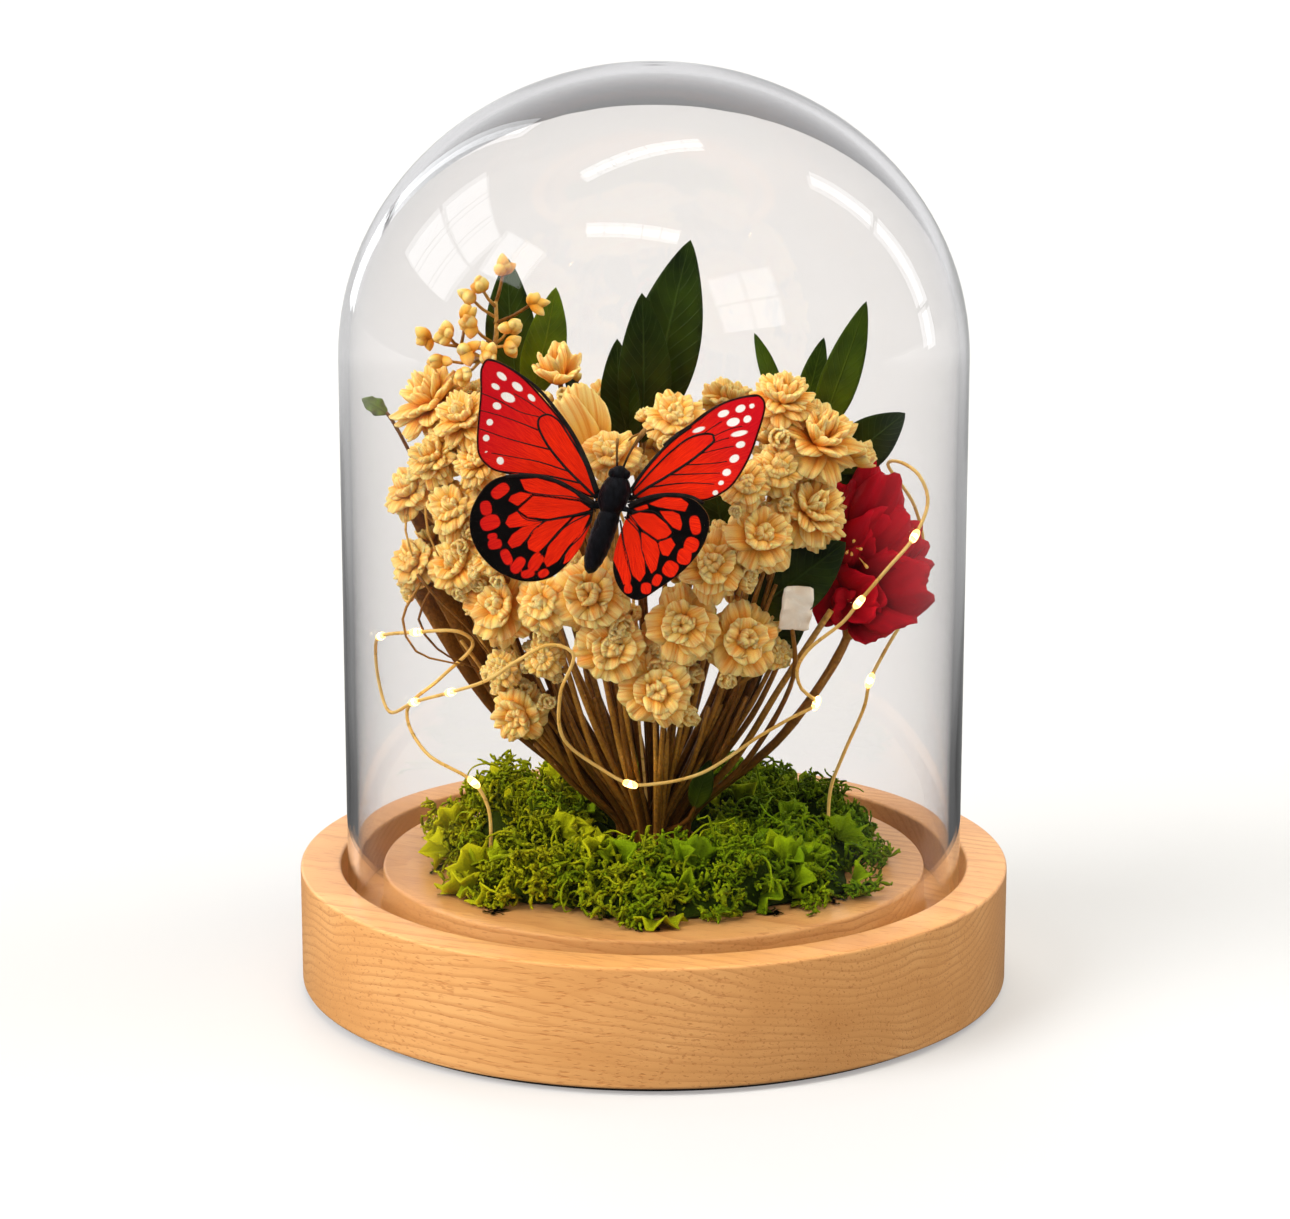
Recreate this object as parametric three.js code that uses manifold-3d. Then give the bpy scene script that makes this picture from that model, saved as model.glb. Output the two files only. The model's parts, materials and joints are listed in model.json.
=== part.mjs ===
// A red butterfly in front of a bouquet of dried blossoms, under a glass dome on a turned wooden base.
// Millimetres, +Z up. The origin is the middle of the underside, and the bouquet faces -Y.
import * as THREE from 'three';
import { mergeVertices } from 'three/addons/utils/BufferGeometryUtils.js';
import loadManifold from 'manifold-3d';

const kernel = await loadManifold();
kernel.setup();

// Driving dimensions of the holder
const BASE_RADIUS = 69.2;
const BASE_TOP = 24.2;
const PAD = { radius: 66.5, thickness: 1.2 };
const RING_INNER_RADIUS = 61.3;
const PLINTH_RADIUS = 53.1;
const GROOVE_FLOOR = 16.2;
const EDGE_CHAMFER = 0.8;
const RING_INNER_CHAMFER = 0.4;
const DOME = { radius: 60, wall: 2, shoulder: 123.6, top: 179 };
const BASE_SIDES = 36;
const DOME_SIDES = 30;
const DOME_ARC_STEPS = 5;

// Driving dimensions of the bouquet
const STEM_RADIUS = 0.75;
const BRANCH_RADIUS = 0.55;
const TWIG_RADIUS = 0.4;
const FLOWER_STEM_RADIUS = 0.9;
const BARE_STEM_RADIUS = 0.8;
const WIRE_RADIUS = 0.4;
const LEAF_THICKNESS = 0.6;
const FOOT_Z = BASE_TOP + 0.3;
const WAIST_Z = 31;
const CLEARANCE = 0.5;
const BOUQUET_CORE = new THREE.Vector3(0, 2, 62);
const MOSS_HOLE_RADIUS = 10.9;

const point = (x, y, z) => new THREE.Vector3(x, y, z);
const between = (a, b, share) => a.clone().lerp(b, share);

// Finishes
const finish = (color, roughness, metalness = 0, extra = {}) =>
  new THREE.MeshStandardMaterial({ color, roughness, metalness, ...extra });
const LOOK = {
  wood: () => finish(0xdca56c, 0.5),
  pad: () => finish(0x1c1a19, 0.95),
  glass: () => finish(0xf4f7f8, 0.03, 0, { transparent: true, opacity: 0.22 }),
  moss: () => finish(0x5f8a12, 0.95),
  blossom: () => finish(0xf0c98c, 0.85),
  leaf: () => finish(0x24350e, 0.55),
  strapLeaf: () => finish(0x33270f, 0.7),
  redPetal: () => finish(0xa50c1c, 0.75),
  stem: () => finish(0x7a4d1d, 0.75),
  paper: () => finish(0xd8c6ae, 0.9),
  insectBody: () => finish(0x16181c, 0.6),
  wing: () => finish(0xd81f08, 0.6),
  copper: () => finish(0xd9a441, 0.35, 0.8),
  twine: () => finish(0x4a2c12, 0.95),
};

const group = new THREE.Group();

function addPiece(name, geometry, material, parent = group) {
  const mesh = new THREE.Mesh(geometry, material);
  mesh.name = name;
  parent.add(mesh);
  return mesh;
}

// A closed solid from a geometry: corners that coincide become one, and faces with no area go.
function solidOf(geometry) {
  const bare = new THREE.BufferGeometry();
  bare.setAttribute('position', geometry.getAttribute('position'));
  bare.setIndex(geometry.index);
  const welded = mergeVertices(bare, 1e-4);
  const corners = welded.index.array;
  const kept = [];
  for (let i = 0; i < corners.length; i += 3) {
    const [a, b, c] = [corners[i], corners[i + 1], corners[i + 2]];
    if (a !== b && b !== c && c !== a) kept.push(a, b, c);
  }
  const vertProperties = new Float32Array(welded.getAttribute('position').array);
  const triVerts = new Uint32Array(kept);
  return new kernel.Manifold(new kernel.Mesh({ numProp: 3, vertProperties, triVerts }));
}

function geometryOf(solid) {
  const mesh = solid.getMesh();
  const geometry = new THREE.BufferGeometry();
  geometry.setAttribute('position', new THREE.BufferAttribute(new Float32Array(mesh.vertProperties), 3));
  geometry.setIndex(new THREE.BufferAttribute(new Uint32Array(mesh.triVerts), 1));
  geometry.computeVertexNormals();
  return geometry;
}

// One grown piece from the geometries that overlap in it. A pocket that they close off between them is
// filled, and a crumb that the joining leaves beside it is dropped.
const CRUMB_VOLUME = 0.05;
function grownTogether(geometries) {
  const whole = geometries.map(solidOf).reduce((sum, next) => sum.add(next));
  const bodies = whole.decompose().filter((body) => body.volume() > CRUMB_VOLUME);
  return geometryOf(bodies.reduce((sum, next) => sum.add(next)));
}

function turned(profile, sides) {
  const outline = profile.map(([radius, z]) => new THREE.Vector2(radius, z));
  return new THREE.LatheGeometry(outline, sides).rotateX(Math.PI / 2);
}

// A smooth curve whose sections stand at the route's own points, and at even shares between them.
class StemCurve extends THREE.CatmullRomCurve3 {
  constructor(route) {
    super(route, false, 'centripetal');
  }

  getSpacedPoints(divisions) {
    return this.getPoints(divisions);
  }

  getTangentAt(share) {
    return this.getTangent(share);
  }
}

function tube(route, radius, sides, stepsBetween) {
  const section = [];
  for (let i = 0; i < sides; i += 1) {
    const angle = (2 * Math.PI * (i + 0.5)) / sides;
    section.push(new THREE.Vector2(radius * Math.cos(angle), radius * Math.sin(angle)));
  }
  const extrudePath = new StemCurve(route);
  const steps = stepsBetween * (route.length - 1);
  return new THREE.ExtrudeGeometry(new THREE.Shape(section), { steps, extrudePath });
}

// A ball with its poles on Y, stretched to the half sizes given and turned so that Y points along `axis`.
function ovoid(centre, halfWidth, halfLength, axis, columns = 6, rows = 4) {
  const turn = new THREE.Quaternion().setFromUnitVectors(point(0, 1, 0), axis.clone().normalize());
  return new THREE.SphereGeometry(1, columns, rows)
    .scale(halfWidth, halfLength, halfWidth)
    .applyQuaternion(turn)
    .translate(centre.x, centre.y, centre.z);
}

// A leaf or petal: a thin plate from base to tip, widest at `belly`, folded along its midrib and arched
// towards the side that it faces.
function blade({ base, tip, faces, width, belly = 0.45, arch = 0.06, fold = 0.2, steps = 4 }) {
  const along = tip.clone().sub(base);
  const length = along.length();
  const forward = along.clone().normalize();
  const side = forward.clone().cross(faces).normalize();
  const normal = side.clone().cross(forward);
  const narrowing = Math.log(0.5) / Math.log(belly);
  const plate = new THREE.BoxGeometry(1, 1, 1, 2, steps, 1);
  const corners = plate.getAttribute('position');
  const corner = new THREE.Vector3();
  for (let i = 0; i < corners.count; i += 1) {
    corner.fromBufferAttribute(corners, i);
    const share = corner.y + 0.5;
    const across = corner.x * 2;
    const swell = Math.max(Math.sin(Math.PI * share ** narrowing), 0) ** 0.8;
    const halfWidth = 0.35 + (width / 2 - 0.35) * swell;
    const surface = arch * length * Math.sin(Math.PI * share) + fold * halfWidth * Math.abs(across);
    const level = surface + corner.z * LEAF_THICKNESS;
    corner.copy(base)
      .addScaledVector(forward, length * share)
      .addScaledVector(side, across * halfWidth)
      .addScaledVector(normal, level);
    corners.setXYZ(i, corner.x, corner.y, corner.z);
  }
  return plate;
}

// Base, pad and dome
const padTop = PAD.thickness;
const baseProfile = [
  [0, padTop],
  [BASE_RADIUS - EDGE_CHAMFER, padTop],
  [BASE_RADIUS, padTop + EDGE_CHAMFER],
  [BASE_RADIUS, BASE_TOP - EDGE_CHAMFER],
  [BASE_RADIUS - EDGE_CHAMFER, BASE_TOP],
  [RING_INNER_RADIUS + RING_INNER_CHAMFER, BASE_TOP],
  [RING_INNER_RADIUS, BASE_TOP - RING_INNER_CHAMFER],
  [RING_INNER_RADIUS, GROOVE_FLOOR],
  [PLINTH_RADIUS, GROOVE_FLOOR],
  [PLINTH_RADIUS, BASE_TOP - EDGE_CHAMFER],
  [PLINTH_RADIUS - EDGE_CHAMFER, BASE_TOP],
  [0, BASE_TOP],
];
addPiece('wooden_base', turned(baseProfile, BASE_SIDES), LOOK.wood());
const padProfile = [[0, 0], [PAD.radius, 0], [PAD.radius, padTop], [0, padTop]];
addPiece('base_pad', turned(padProfile, BASE_SIDES), LOOK.pad());

function domeArc(inset, steps) {
  const arc = [];
  for (let i = 0; i <= steps; i += 1) {
    const angle = (Math.PI / 2) * (i / steps);
    const radius = (DOME.radius - inset) * Math.cos(angle);
    const height = (DOME.top - DOME.shoulder - inset) * Math.sin(angle);
    arc.push([i === steps ? 0 : radius, DOME.shoulder + height]);
  }
  return arc;
}
const domeProfile = [
  ...domeArc(DOME.wall, DOME_ARC_STEPS).reverse(),
  [DOME.radius - DOME.wall, GROOVE_FLOOR],
  [DOME.radius, GROOVE_FLOOR],
  ...domeArc(0, DOME_ARC_STEPS),
];
addPiece('glass_dome', turned(domeProfile, DOME_SIDES), LOOK.glass());

// Moss: tufts side by side round the foot of the stems. Each is a sector of a ring with a lumpy top.
const MOSS_TUFTS = [
  { name: 'moss_right_back', from: -3, to: 62, reach: 46, rise: 13 },
  { name: 'moss_back', from: 62, to: 135, reach: 44, rise: 15 },
  { name: 'moss_left_back', from: 135, to: 204, reach: 45, rise: 16 },
  { name: 'moss_front_left', from: 204, to: 275, reach: 46, rise: 12 },
  { name: 'moss_front_right', from: 275, to: 357, reach: 48, rise: 11 },
];
const TUFT_SIDE_ROOM = 0.75;
function mossTuft({ from, to, reach, rise }) {
  const block = new THREE.BoxGeometry(1, 1, 1, 4, 5, 1);
  const corners = block.getAttribute('position');
  for (let i = 0; i < corners.count; i += 1) {
    const outward = corners.getX(i) + 0.5;
    const round = corners.getY(i) + 0.5;
    const isTop = corners.getZ(i) > 0;
    const middle = THREE.MathUtils.degToRad(from + (to - from) * round);
    const wave = Math.sin(middle * 7) + 0.6 * Math.sin(middle * 11 + 2);
    const radius = MOSS_HOLE_RADIUS + (reach + 1.6 * wave - MOSS_HOLE_RADIUS) * outward;
    const room = TUFT_SIDE_ROOM / radius;
    const start = THREE.MathUtils.degToRad(from) + room;
    const end = THREE.MathUtils.degToRad(to) - room;
    const angle = start + (end - start) * round;
    const lump = 0.16 * Math.sin(radius * 0.55 + middle * 5) + 0.12 * Math.sin(middle * 13 + radius * 0.3);
    const swell = Math.sin(Math.PI * (0.08 + 0.86 * outward)) * (0.9 + lump);
    const height = isTop ? 2 + rise * swell : 0;
    corners.setXYZ(i, radius * Math.cos(angle), radius * Math.sin(angle), FOOT_Z + height);
  }
  return block;
}
for (const tuft of MOSS_TUFTS) addPiece(tuft.name, mossTuft(tuft), LOOK.moss());

// Blossom sprigs: each blossom is [x, y, z, radius].
const BLOSSOM_SPRIGS = [
  { name: 'sprig_01', blossoms: [[-43, -5, 117, 7], [-36, -15, 115, 5.3]] },
  { name: 'sprig_02', blossoms: [[-42, -13, 107, 4.8], [-33, -18, 107, 4.6]] },
  { name: 'sprig_03', blossoms: [[-47, -8, 100, 4.9], [-38, -17, 98, 5.3]] },
  { name: 'sprig_04', blossoms: [[-46.5, -9, 86, 4.7], [-38, -15, 87, 5.3]] },
  { name: 'sprig_05', blossoms: [[-30, -21, 90, 4], [-29.5, -19, 79, 6]] },
  { name: 'sprig_06', blossoms: [[-21, -24, 81, 5], [-21, -20, 69, 3.5]] },
  { name: 'sprig_07', blossoms: [[-12, -26, 83, 6.5]] },
  { name: 'sprig_08', blossoms: [[-8, -25, 72.5, 6.1]] },
  { name: 'sprig_09', blossoms: [[0.6, -24, 63.5, 6.3]] },
  { name: 'sprig_10', blossoms: [[-26.5, -14, 56, 5], [-29, -18, 66.5, 3.2]] },
  { name: 'sprig_11', blossoms: [[5.4, -25, 77, 6.3]] },
  { name: 'sprig_12', blossoms: [[17, -22.5, 73.5, 6.3], [23.5, -16.5, 69, 2.7]] },
  { name: 'sprig_13', blossoms: [[11, -25, 88.5, 5.7], [17, -24, 104, 4]] },
  { name: 'sprig_14', blossoms: [[20, -24, 94, 6]] },
  { name: 'sprig_15', blossoms: [[30, -18, 98, 6.5]] },
  { name: 'sprig_16', blossoms: [[31.5, -14, 111, 7.4], [24.5, -13, 118.5, 5.8]] },
  { name: 'sprig_17', blossoms: [[23, -20, 106, 4.5]] },
  { name: 'sprig_18', blossoms: [[4, -17, 115.5, 4.8], [-8, -20, 109, 4.8]] },
  { name: 'sprig_19', blossoms: [[-18, -8, 121, 4.2]] },
  { name: 'sprig_20', blossoms: [[-32, 13, 113, 5.5], [-42, 7, 103, 5]] },
  { name: 'sprig_21', blossoms: [[-20, 20, 103, 5.6], [-9, 18, 113, 5]] },
  { name: 'sprig_22', blossoms: [[4, 23, 104, 5.8], [15, 18, 113, 5]] },
  { name: 'sprig_23', blossoms: [[26, 18, 101, 5.6], [35, 13, 88, 5.2]] },
  { name: 'sprig_24', blossoms: [[-30, 17, 86, 5.5], [-14, 24, 84, 6]] },
  { name: 'sprig_25', blossoms: [[3, 24, 84, 6], [19, 20, 80, 5.6]] },
];

// Leaf sprigs: a stalk to the fork, then one blade or several.
const LEAF_SPRIGS = [
  {
    name: 'leaf_sprig_centre',
    fork: [-3, 2, 98],
    leaves: [
      { base: [-1.5, 4.5, 107], tip: [7, 8, 144.6], width: 13.5, faces: [-0.1, -1, 0.15] },
      { base: [-2.5, 2, 106], tip: [-2.3, 0.5, 135.4], width: 10.5, faces: [0.25, -1, 0.2] },
      { base: [-4.5, 1, 105], tip: [-7, 1, 126.5], width: 8, faces: [-0.4, -1, 0.1] },
    ],
  },
  {
    name: 'leaf_beside_centre',
    fork: [-8, -4, 102],
    leaves: [{ base: [-8.4, -4.5, 106], tip: [-17, -5, 120.5], width: 5.5, faces: [0.3, -1, 0.5] }],
  },
  {
    name: 'leaf_pair_left',
    fork: [-24, 5, 109],
    leaves: [
      { base: [-24, 4, 114], tip: [-18.7, 4, 136], width: 7.5, faces: [0.3, -1, 0.1] },
      { base: [-26, 6.5, 114], tip: [-28, 8, 141], width: 10, faces: [-0.2, -1, 0.1] },
    ],
  },
  {
    name: 'leaf_sprig_upper_right',
    fork: [26, -2, 104],
    leaves: [
      { base: [24.5, 4, 112], tip: [19.3, 5, 127], width: 3.6, faces: [0.2, -1, 0.1] },
      { base: [28.5, 3, 110], tip: [32.6, 4, 126.3], width: 5, faces: [-0.1, -1, 0.1] },
      { base: [31, 0, 107], tip: [40.3, -1, 134], width: 7.4, faces: [0.1, -1, 0.2] },
    ],
  },
  {
    name: 'leaf_pair_right',
    fork: [31, 1, 82],
    leaves: [
      { base: [36, 1, 102], tip: [48, -2, 112.8], width: 8.5, faces: [-0.1, -1, 0.3] },
      { base: [31, 0, 86], tip: [38, 2, 107], width: 9, faces: [0.1, -1, 0] },
    ],
  },
  {
    name: 'leaf_pair_low',
    fork: [16, -12, 67],
    leaves: [
      { base: [18.5, -15, 78], tip: [35, -14, 89.5], width: 11, faces: [0, -1, 0.3] },
      { base: [19, -13, 69], tip: [28, -11.5, 78], width: 7, faces: [0.2, -1, 0] },
    ],
  },
];
const SINGLE_BLADES = [
  {
    name: 'strap_leaf',
    look: LOOK.strapLeaf,
    start: [8.6, 3, 40],
    leaf: { base: [10.4, 3.8, 44], tip: [21.5, 5.4, 71], width: 6, faces: [0.2, -1, 0.1], belly: 0.6 },
  },
  {
    name: 'small_low_leaf',
    look: LOOK.leaf,
    start: [7, -9, 34.5],
    leaf: { base: [7.8, -10.5, 37], tip: [10.8, -13.5, 47.5], width: 4.5, faces: [0, -1, 0.3] },
  },
  {
    name: 'bract_right',
    look: LOOK.paper,
    start: [26.5, -14, 64],
    leaf: { base: [26.2, -18.6, 74.2], tip: [26.4, -19.6, 83], width: 5.8, faces: [0.2, -1, 0], belly: 0.5 },
  },
  {
    name: 'bract_left',
    look: LOOK.paper,
    start: [-13, -12, 100],
    leaf: { base: [-14, -16, 109], tip: [-13.5, -17, 120], width: 8, faces: [0, -1, 0.2], belly: 0.5 },
  },
  {
    name: 'leaf_scrap',
    look: LOOK.leaf,
    start: [-47, 0, 105],
    leaf: { base: [-51, -1.5, 112.6], tip: [-56, -2, 115.5], width: 2.8, faces: [0, -1, 0.6] },
  },
];

// The red flower: petals from one calyx, each [tip x, y, z, width].
const RED_FLOWER = {
  calyx: [38, -6, 72.5],
  petals: [
    [41.5, -6, 104, 11], [35, -9, 97, 11], [47, -1, 100, 10], [48, -9, 94, 11],
    [52.5, -3, 89, 10], [53, -8, 82, 9], [48, -3, 75.5, 8], [31, -8, 80, 8],
    [42, -14, 88, 12], [41, 4, 92, 12],
  ],
};
// A stem with no head, and the wire that rises among the stems and bends forward to the butterfly
const BARE_STEM_ROUTE = [[16.5, -5.5, 46.5], [24, -11, 61], [28.5, -13.5, 69], [33.5, -14, 77]];
const BUTTERFLY_WIRE_ROUTE = [[-4.5, -9, 88], [-6, -18, 96], [-7.2, -26, 100.6], [-7.4, -29.5, 102.6]];

// The bud spray: two upright twigs from one fork, each with buds [x, y, z] on short stalks.
const BUD_SPRAY = {
  fork: [-31, -2, 121],
  twigs: [
    {
      top: [-30, -1, 134],
      buds: [
        [-34.7, -3, 135], [-32.4, -5, 137], [-28.5, 1, 139.5], [-34.5, -4, 130],
        [-27, -5, 129.5], [-23, -2, 133.7],
      ],
    },
    { top: [-37, -1, 125.5], buds: [[-39, -4, 128], [-43, -1, 127], [-36, 3, 130]] },
  ],
};

const SEAT_SPREAD = 12;
const SEAT_ROUNDS = 400;
const SEAT_PULL = 0.02;

// Where each stem stands in the tied foot: it starts on the side that its head leans to, and the loop
// then draws all stems together and pushes neighbours apart until each has its own room.
function seatStems(stems) {
  const seats = stems.map(({ target }) => {
    const lean = target.clone().sub(point(0, 0, WAIST_Z)).normalize();
    return new THREE.Vector2(lean.x, lean.y).multiplyScalar(SEAT_SPREAD);
  });
  for (let round = 0; round < SEAT_ROUNDS; round += 1) {
    for (const seat of seats) seat.multiplyScalar(1 - SEAT_PULL * (1 - round / SEAT_ROUNDS));
    for (let i = 0; i < seats.length; i += 1) {
      for (let j = 0; j < i; j += 1) {
        const apart = seats[i].clone().sub(seats[j]);
        const wanted = stems[i].radius + stems[j].radius + CLEARANCE;
        const shortfall = wanted - apart.length();
        if (shortfall > 0) {
          apart.setLength(shortfall / 2);
          seats[i].add(apart);
          seats[j].sub(apart);
        }
      }
    }
  }
  return seats;
}

// The way a blossom faces: away from the core of the bouquet, turned more to the front or the back.
function facingOf(head) {
  const away = head.clone().sub(BOUQUET_CORE);
  return point(away.x * 0.55, away.y * 1.6, away.z * 0.8).normalize();
}

// A stem leaves its seat upright, leans out and bends up again towards its head.
function stemRoute(seat, target) {
  const foot = point(seat.x, seat.y, FOOT_Z);
  const waist = point(seat.x * 1.02, seat.y * 1.02, WAIST_Z);
  const reach = target.clone().sub(waist);
  const outward = point(reach.x, reach.y, 0);
  const middle = between(waist, target, 0.5).addScaledVector(outward, 0.1);
  middle.z -= 0.03 * reach.length();
  return [foot, waist, middle, target];
}

// A blossom: a flat round head with a notched rim.
function blossomHead(centre, radius, facing) {
  const head = new THREE.SphereGeometry(1, 8, 3);
  const corners = head.getAttribute('position');
  for (let i = 0; i < corners.count; i += 1) {
    const height = corners.getY(i);
    const angle = Math.atan2(corners.getZ(i), corners.getX(i));
    const isPole = Math.abs(height) > 0.9;
    const notch = Math.cos(4 * angle) > 0 ? 1 : 0.86;
    const spread = height > 0 ? notch : 0.62;
    const level = height > 0 ? 0.16 : -0.3;
    const poleLevel = height > 0 ? 0.4 : -0.5;
    corners.setXYZ(
      i,
      isPole ? 0 : radius * spread * Math.cos(angle),
      radius * (isPole ? poleLevel : level),
      isPole ? 0 : radius * spread * Math.sin(angle),
    );
  }
  const turn = new THREE.Quaternion().setFromUnitVectors(point(0, 1, 0), facing);
  return head.applyQuaternion(turn).translate(centre.x, centre.y, centre.z);
}

// A sprig of one or two blossoms: the stem runs on to the first, and a branch from its fork carries the
// second.
function blossomSprig({ blossoms }, seat) {
  const heads = blossoms.map(([x, y, z, radius]) => {
    const centre = point(x, y, z);
    const facing = facingOf(centre);
    const behind = centre.clone().addScaledVector(facing, -0.9 * radius).add(point(0, 0, -1.5));
    return { centre, facing, behind, radius };
  });
  const [first, second] = heads;
  const grown = heads.map(({ centre, facing, radius }) => blossomHead(centre, radius, facing));
  if (second) {
    const fork = forkOf(blossoms);
    grown.push(tube([...stemRoute(seat, fork), first.behind, first.centre], STEM_RADIUS, 3, 1));
    grown.push(tube([fork, second.behind, second.centre], BRANCH_RADIUS, 3, 1));
  } else {
    grown.push(tube([...stemRoute(seat, first.behind), first.centre], STEM_RADIUS, 3, 1));
  }
  return grownTogether(grown);
}

function forkOf(blossoms) {
  const middle = point(0, 0, 0);
  for (const [x, y, z] of blossoms) middle.add(point(x, y, z).multiplyScalar(1 / blossoms.length));
  return between(point(0, 0, WAIST_Z), middle, 0.78).add(point(0, 2 * Math.sign(-middle.y), 0));
}

// The stalk runs on into the first leaf, and short ones from its fork carry the others.
function leafSprig({ fork, leaves }, seat) {
  const forkPoint = point(...fork);
  const grown = [];
  leaves.forEach((leaf, index) => {
    const base = point(...leaf.base);
    const tip = point(...leaf.tip);
    const inside = between(base, tip, 0.03);
    if (index === 0) grown.push(tube([...stemRoute(seat, forkPoint), base, inside], STEM_RADIUS, 3, 1));
    else grown.push(tube([forkPoint, base, inside], BRANCH_RADIUS, 3, 1));
    grown.push(blade({ ...leaf, base, tip, faces: point(...leaf.faces) }));
  });
  return grownTogether(grown);
}

// Every stem of the tied foot, with the place that it heads for
const bundle = [
  ...BLOSSOM_SPRIGS.map((sprig) => ({
    radius: STEM_RADIUS,
    target: sprig.blossoms.length > 1 ? forkOf(sprig.blossoms) : point(...sprig.blossoms[0]),
    make: (seat) => addPiece(sprig.name, blossomSprig(sprig, seat), LOOK.blossom()),
  })),
  ...LEAF_SPRIGS.map((sprig) => ({
    radius: STEM_RADIUS,
    target: point(...sprig.fork),
    make: (seat) => addPiece(sprig.name, leafSprig(sprig, seat), LOOK.leaf()),
  })),
  ...SINGLE_BLADES.map(({ name, look, start, leaf }) => ({
    radius: STEM_RADIUS,
    target: point(...start),
    make: (seat) => addPiece(name, leafSprig({ fork: start, leaves: [leaf] }, seat), look()),
  })),
  { radius: FLOWER_STEM_RADIUS, target: point(...RED_FLOWER.calyx), make: addRedFlower },
  { radius: BARE_STEM_RADIUS, target: point(...BARE_STEM_ROUTE[1]), make: addBareStem },
  { radius: WIRE_RADIUS, target: point(...BUTTERFLY_WIRE_ROUTE[0]), make: addButterflyWire },
  { radius: STEM_RADIUS, target: point(...BUD_SPRAY.fork), make: addBudSpray },
];

function addRedFlower(seat) {
  const calyx = point(...RED_FLOWER.calyx);
  const stem = tube(stemRoute(seat, calyx), FLOWER_STEM_RADIUS, 4, 2);
  const grown = [stem, ovoid(calyx, 2.6, 3.4, point(0.3, 0, 1))];
  for (const [x, y, z, width] of RED_FLOWER.petals) {
    const tip = point(x, y, z);
    const outward = point((x - 40) * 0.3, y + 5 < 0 ? -1 : 1, 0.2);
    const base = between(calyx, tip, 0.06);
    grown.push(blade({ base, tip, faces: outward, width, belly: 0.66, arch: 0.1, steps: 3 }));
  }
  addPiece('red_flower', grownTogether(grown), LOOK.redPetal());
}

function addBareStem(seat) {
  const route = [point(seat.x, seat.y, FOOT_Z), point(seat.x, seat.y, WAIST_Z)];
  for (const place of BARE_STEM_ROUTE) route.push(point(...place));
  addPiece('bare_stem', tube(route, BARE_STEM_RADIUS, 4, 2), LOOK.stem());
}

function addButterflyWire(seat) {
  const [crook, ...rest] = BUTTERFLY_WIRE_ROUTE.map((place) => point(...place));
  addPiece('butterfly_wire', tube([...stemRoute(seat, crook), ...rest], WIRE_RADIUS, 4, 1), LOOK.copper());
}

function addBudSpray(seat) {
  const fork = point(...BUD_SPRAY.fork);
  const grown = [tube(stemRoute(seat, fork), STEM_RADIUS, 3, 1)];
  for (const { top, buds } of BUD_SPRAY.twigs) {
    const twigTop = point(...top);
    grown.push(tube([fork, twigTop], BRANCH_RADIUS, 3, 1));
    for (const bud of buds) {
      const centre = point(...bud);
      const share = THREE.MathUtils.clamp((centre.z - fork.z) / (twigTop.z - fork.z) - 0.3, 0.35, 0.95);
      const joint = between(fork, twigTop, share);
      grown.push(tube([joint, centre], TWIG_RADIUS, 3, 1));
      grown.push(ovoid(centre, 1.3, 1.9, centre.clone().sub(joint), 4, 3));
    }
  }
  addPiece('bud_spray', grownTogether(grown), LOOK.blossom());
}

const seats = seatStems(bundle);
bundle.forEach((stem, index) => stem.make(seats[index]));

// The cord that binds the foot of the stems, with its knot at the front left
const bundleRadius = Math.max(...seats.map((seat, index) => seat.length() + bundle[index].radius));
const BINDING = { inner: bundleRadius + 0.5, outer: bundleRadius + 1.5, bottom: 25.2, top: 28.4, sides: 12 };
const bindingProfile = [
  [BINDING.inner, BINDING.bottom],
  [BINDING.outer, BINDING.bottom],
  [BINDING.outer, BINDING.top],
  [BINDING.inner, BINDING.top],
  [BINDING.inner, BINDING.bottom],
];
const binding = turned(bindingProfile, BINDING.sides);
const knotPlace = point(-0.5, -0.87, 0).multiplyScalar(BINDING.outer).setZ(BINDING.top - 0.9);
const knot = ovoid(knotPlace, 1, 2.2, point(0.5, -0.3, 1));
addPiece('binding_cord', grownTogether([binding, knot]), LOOK.twine());

// The butterfly leans back with the line of sight that it faces.
const BUTTERFLY_PLACE = point(-7.7, -33, 102);
const BUTTERFLY_LEAN = THREE.MathUtils.degToRad(13);
const WING_THICKNESS = 0.4;
const butterfly = new THREE.Group();
butterfly.position.copy(BUTTERFLY_PLACE);
butterfly.rotation.x = Math.PI / 2 - BUTTERFLY_LEAN;
group.add(butterfly);

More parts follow.
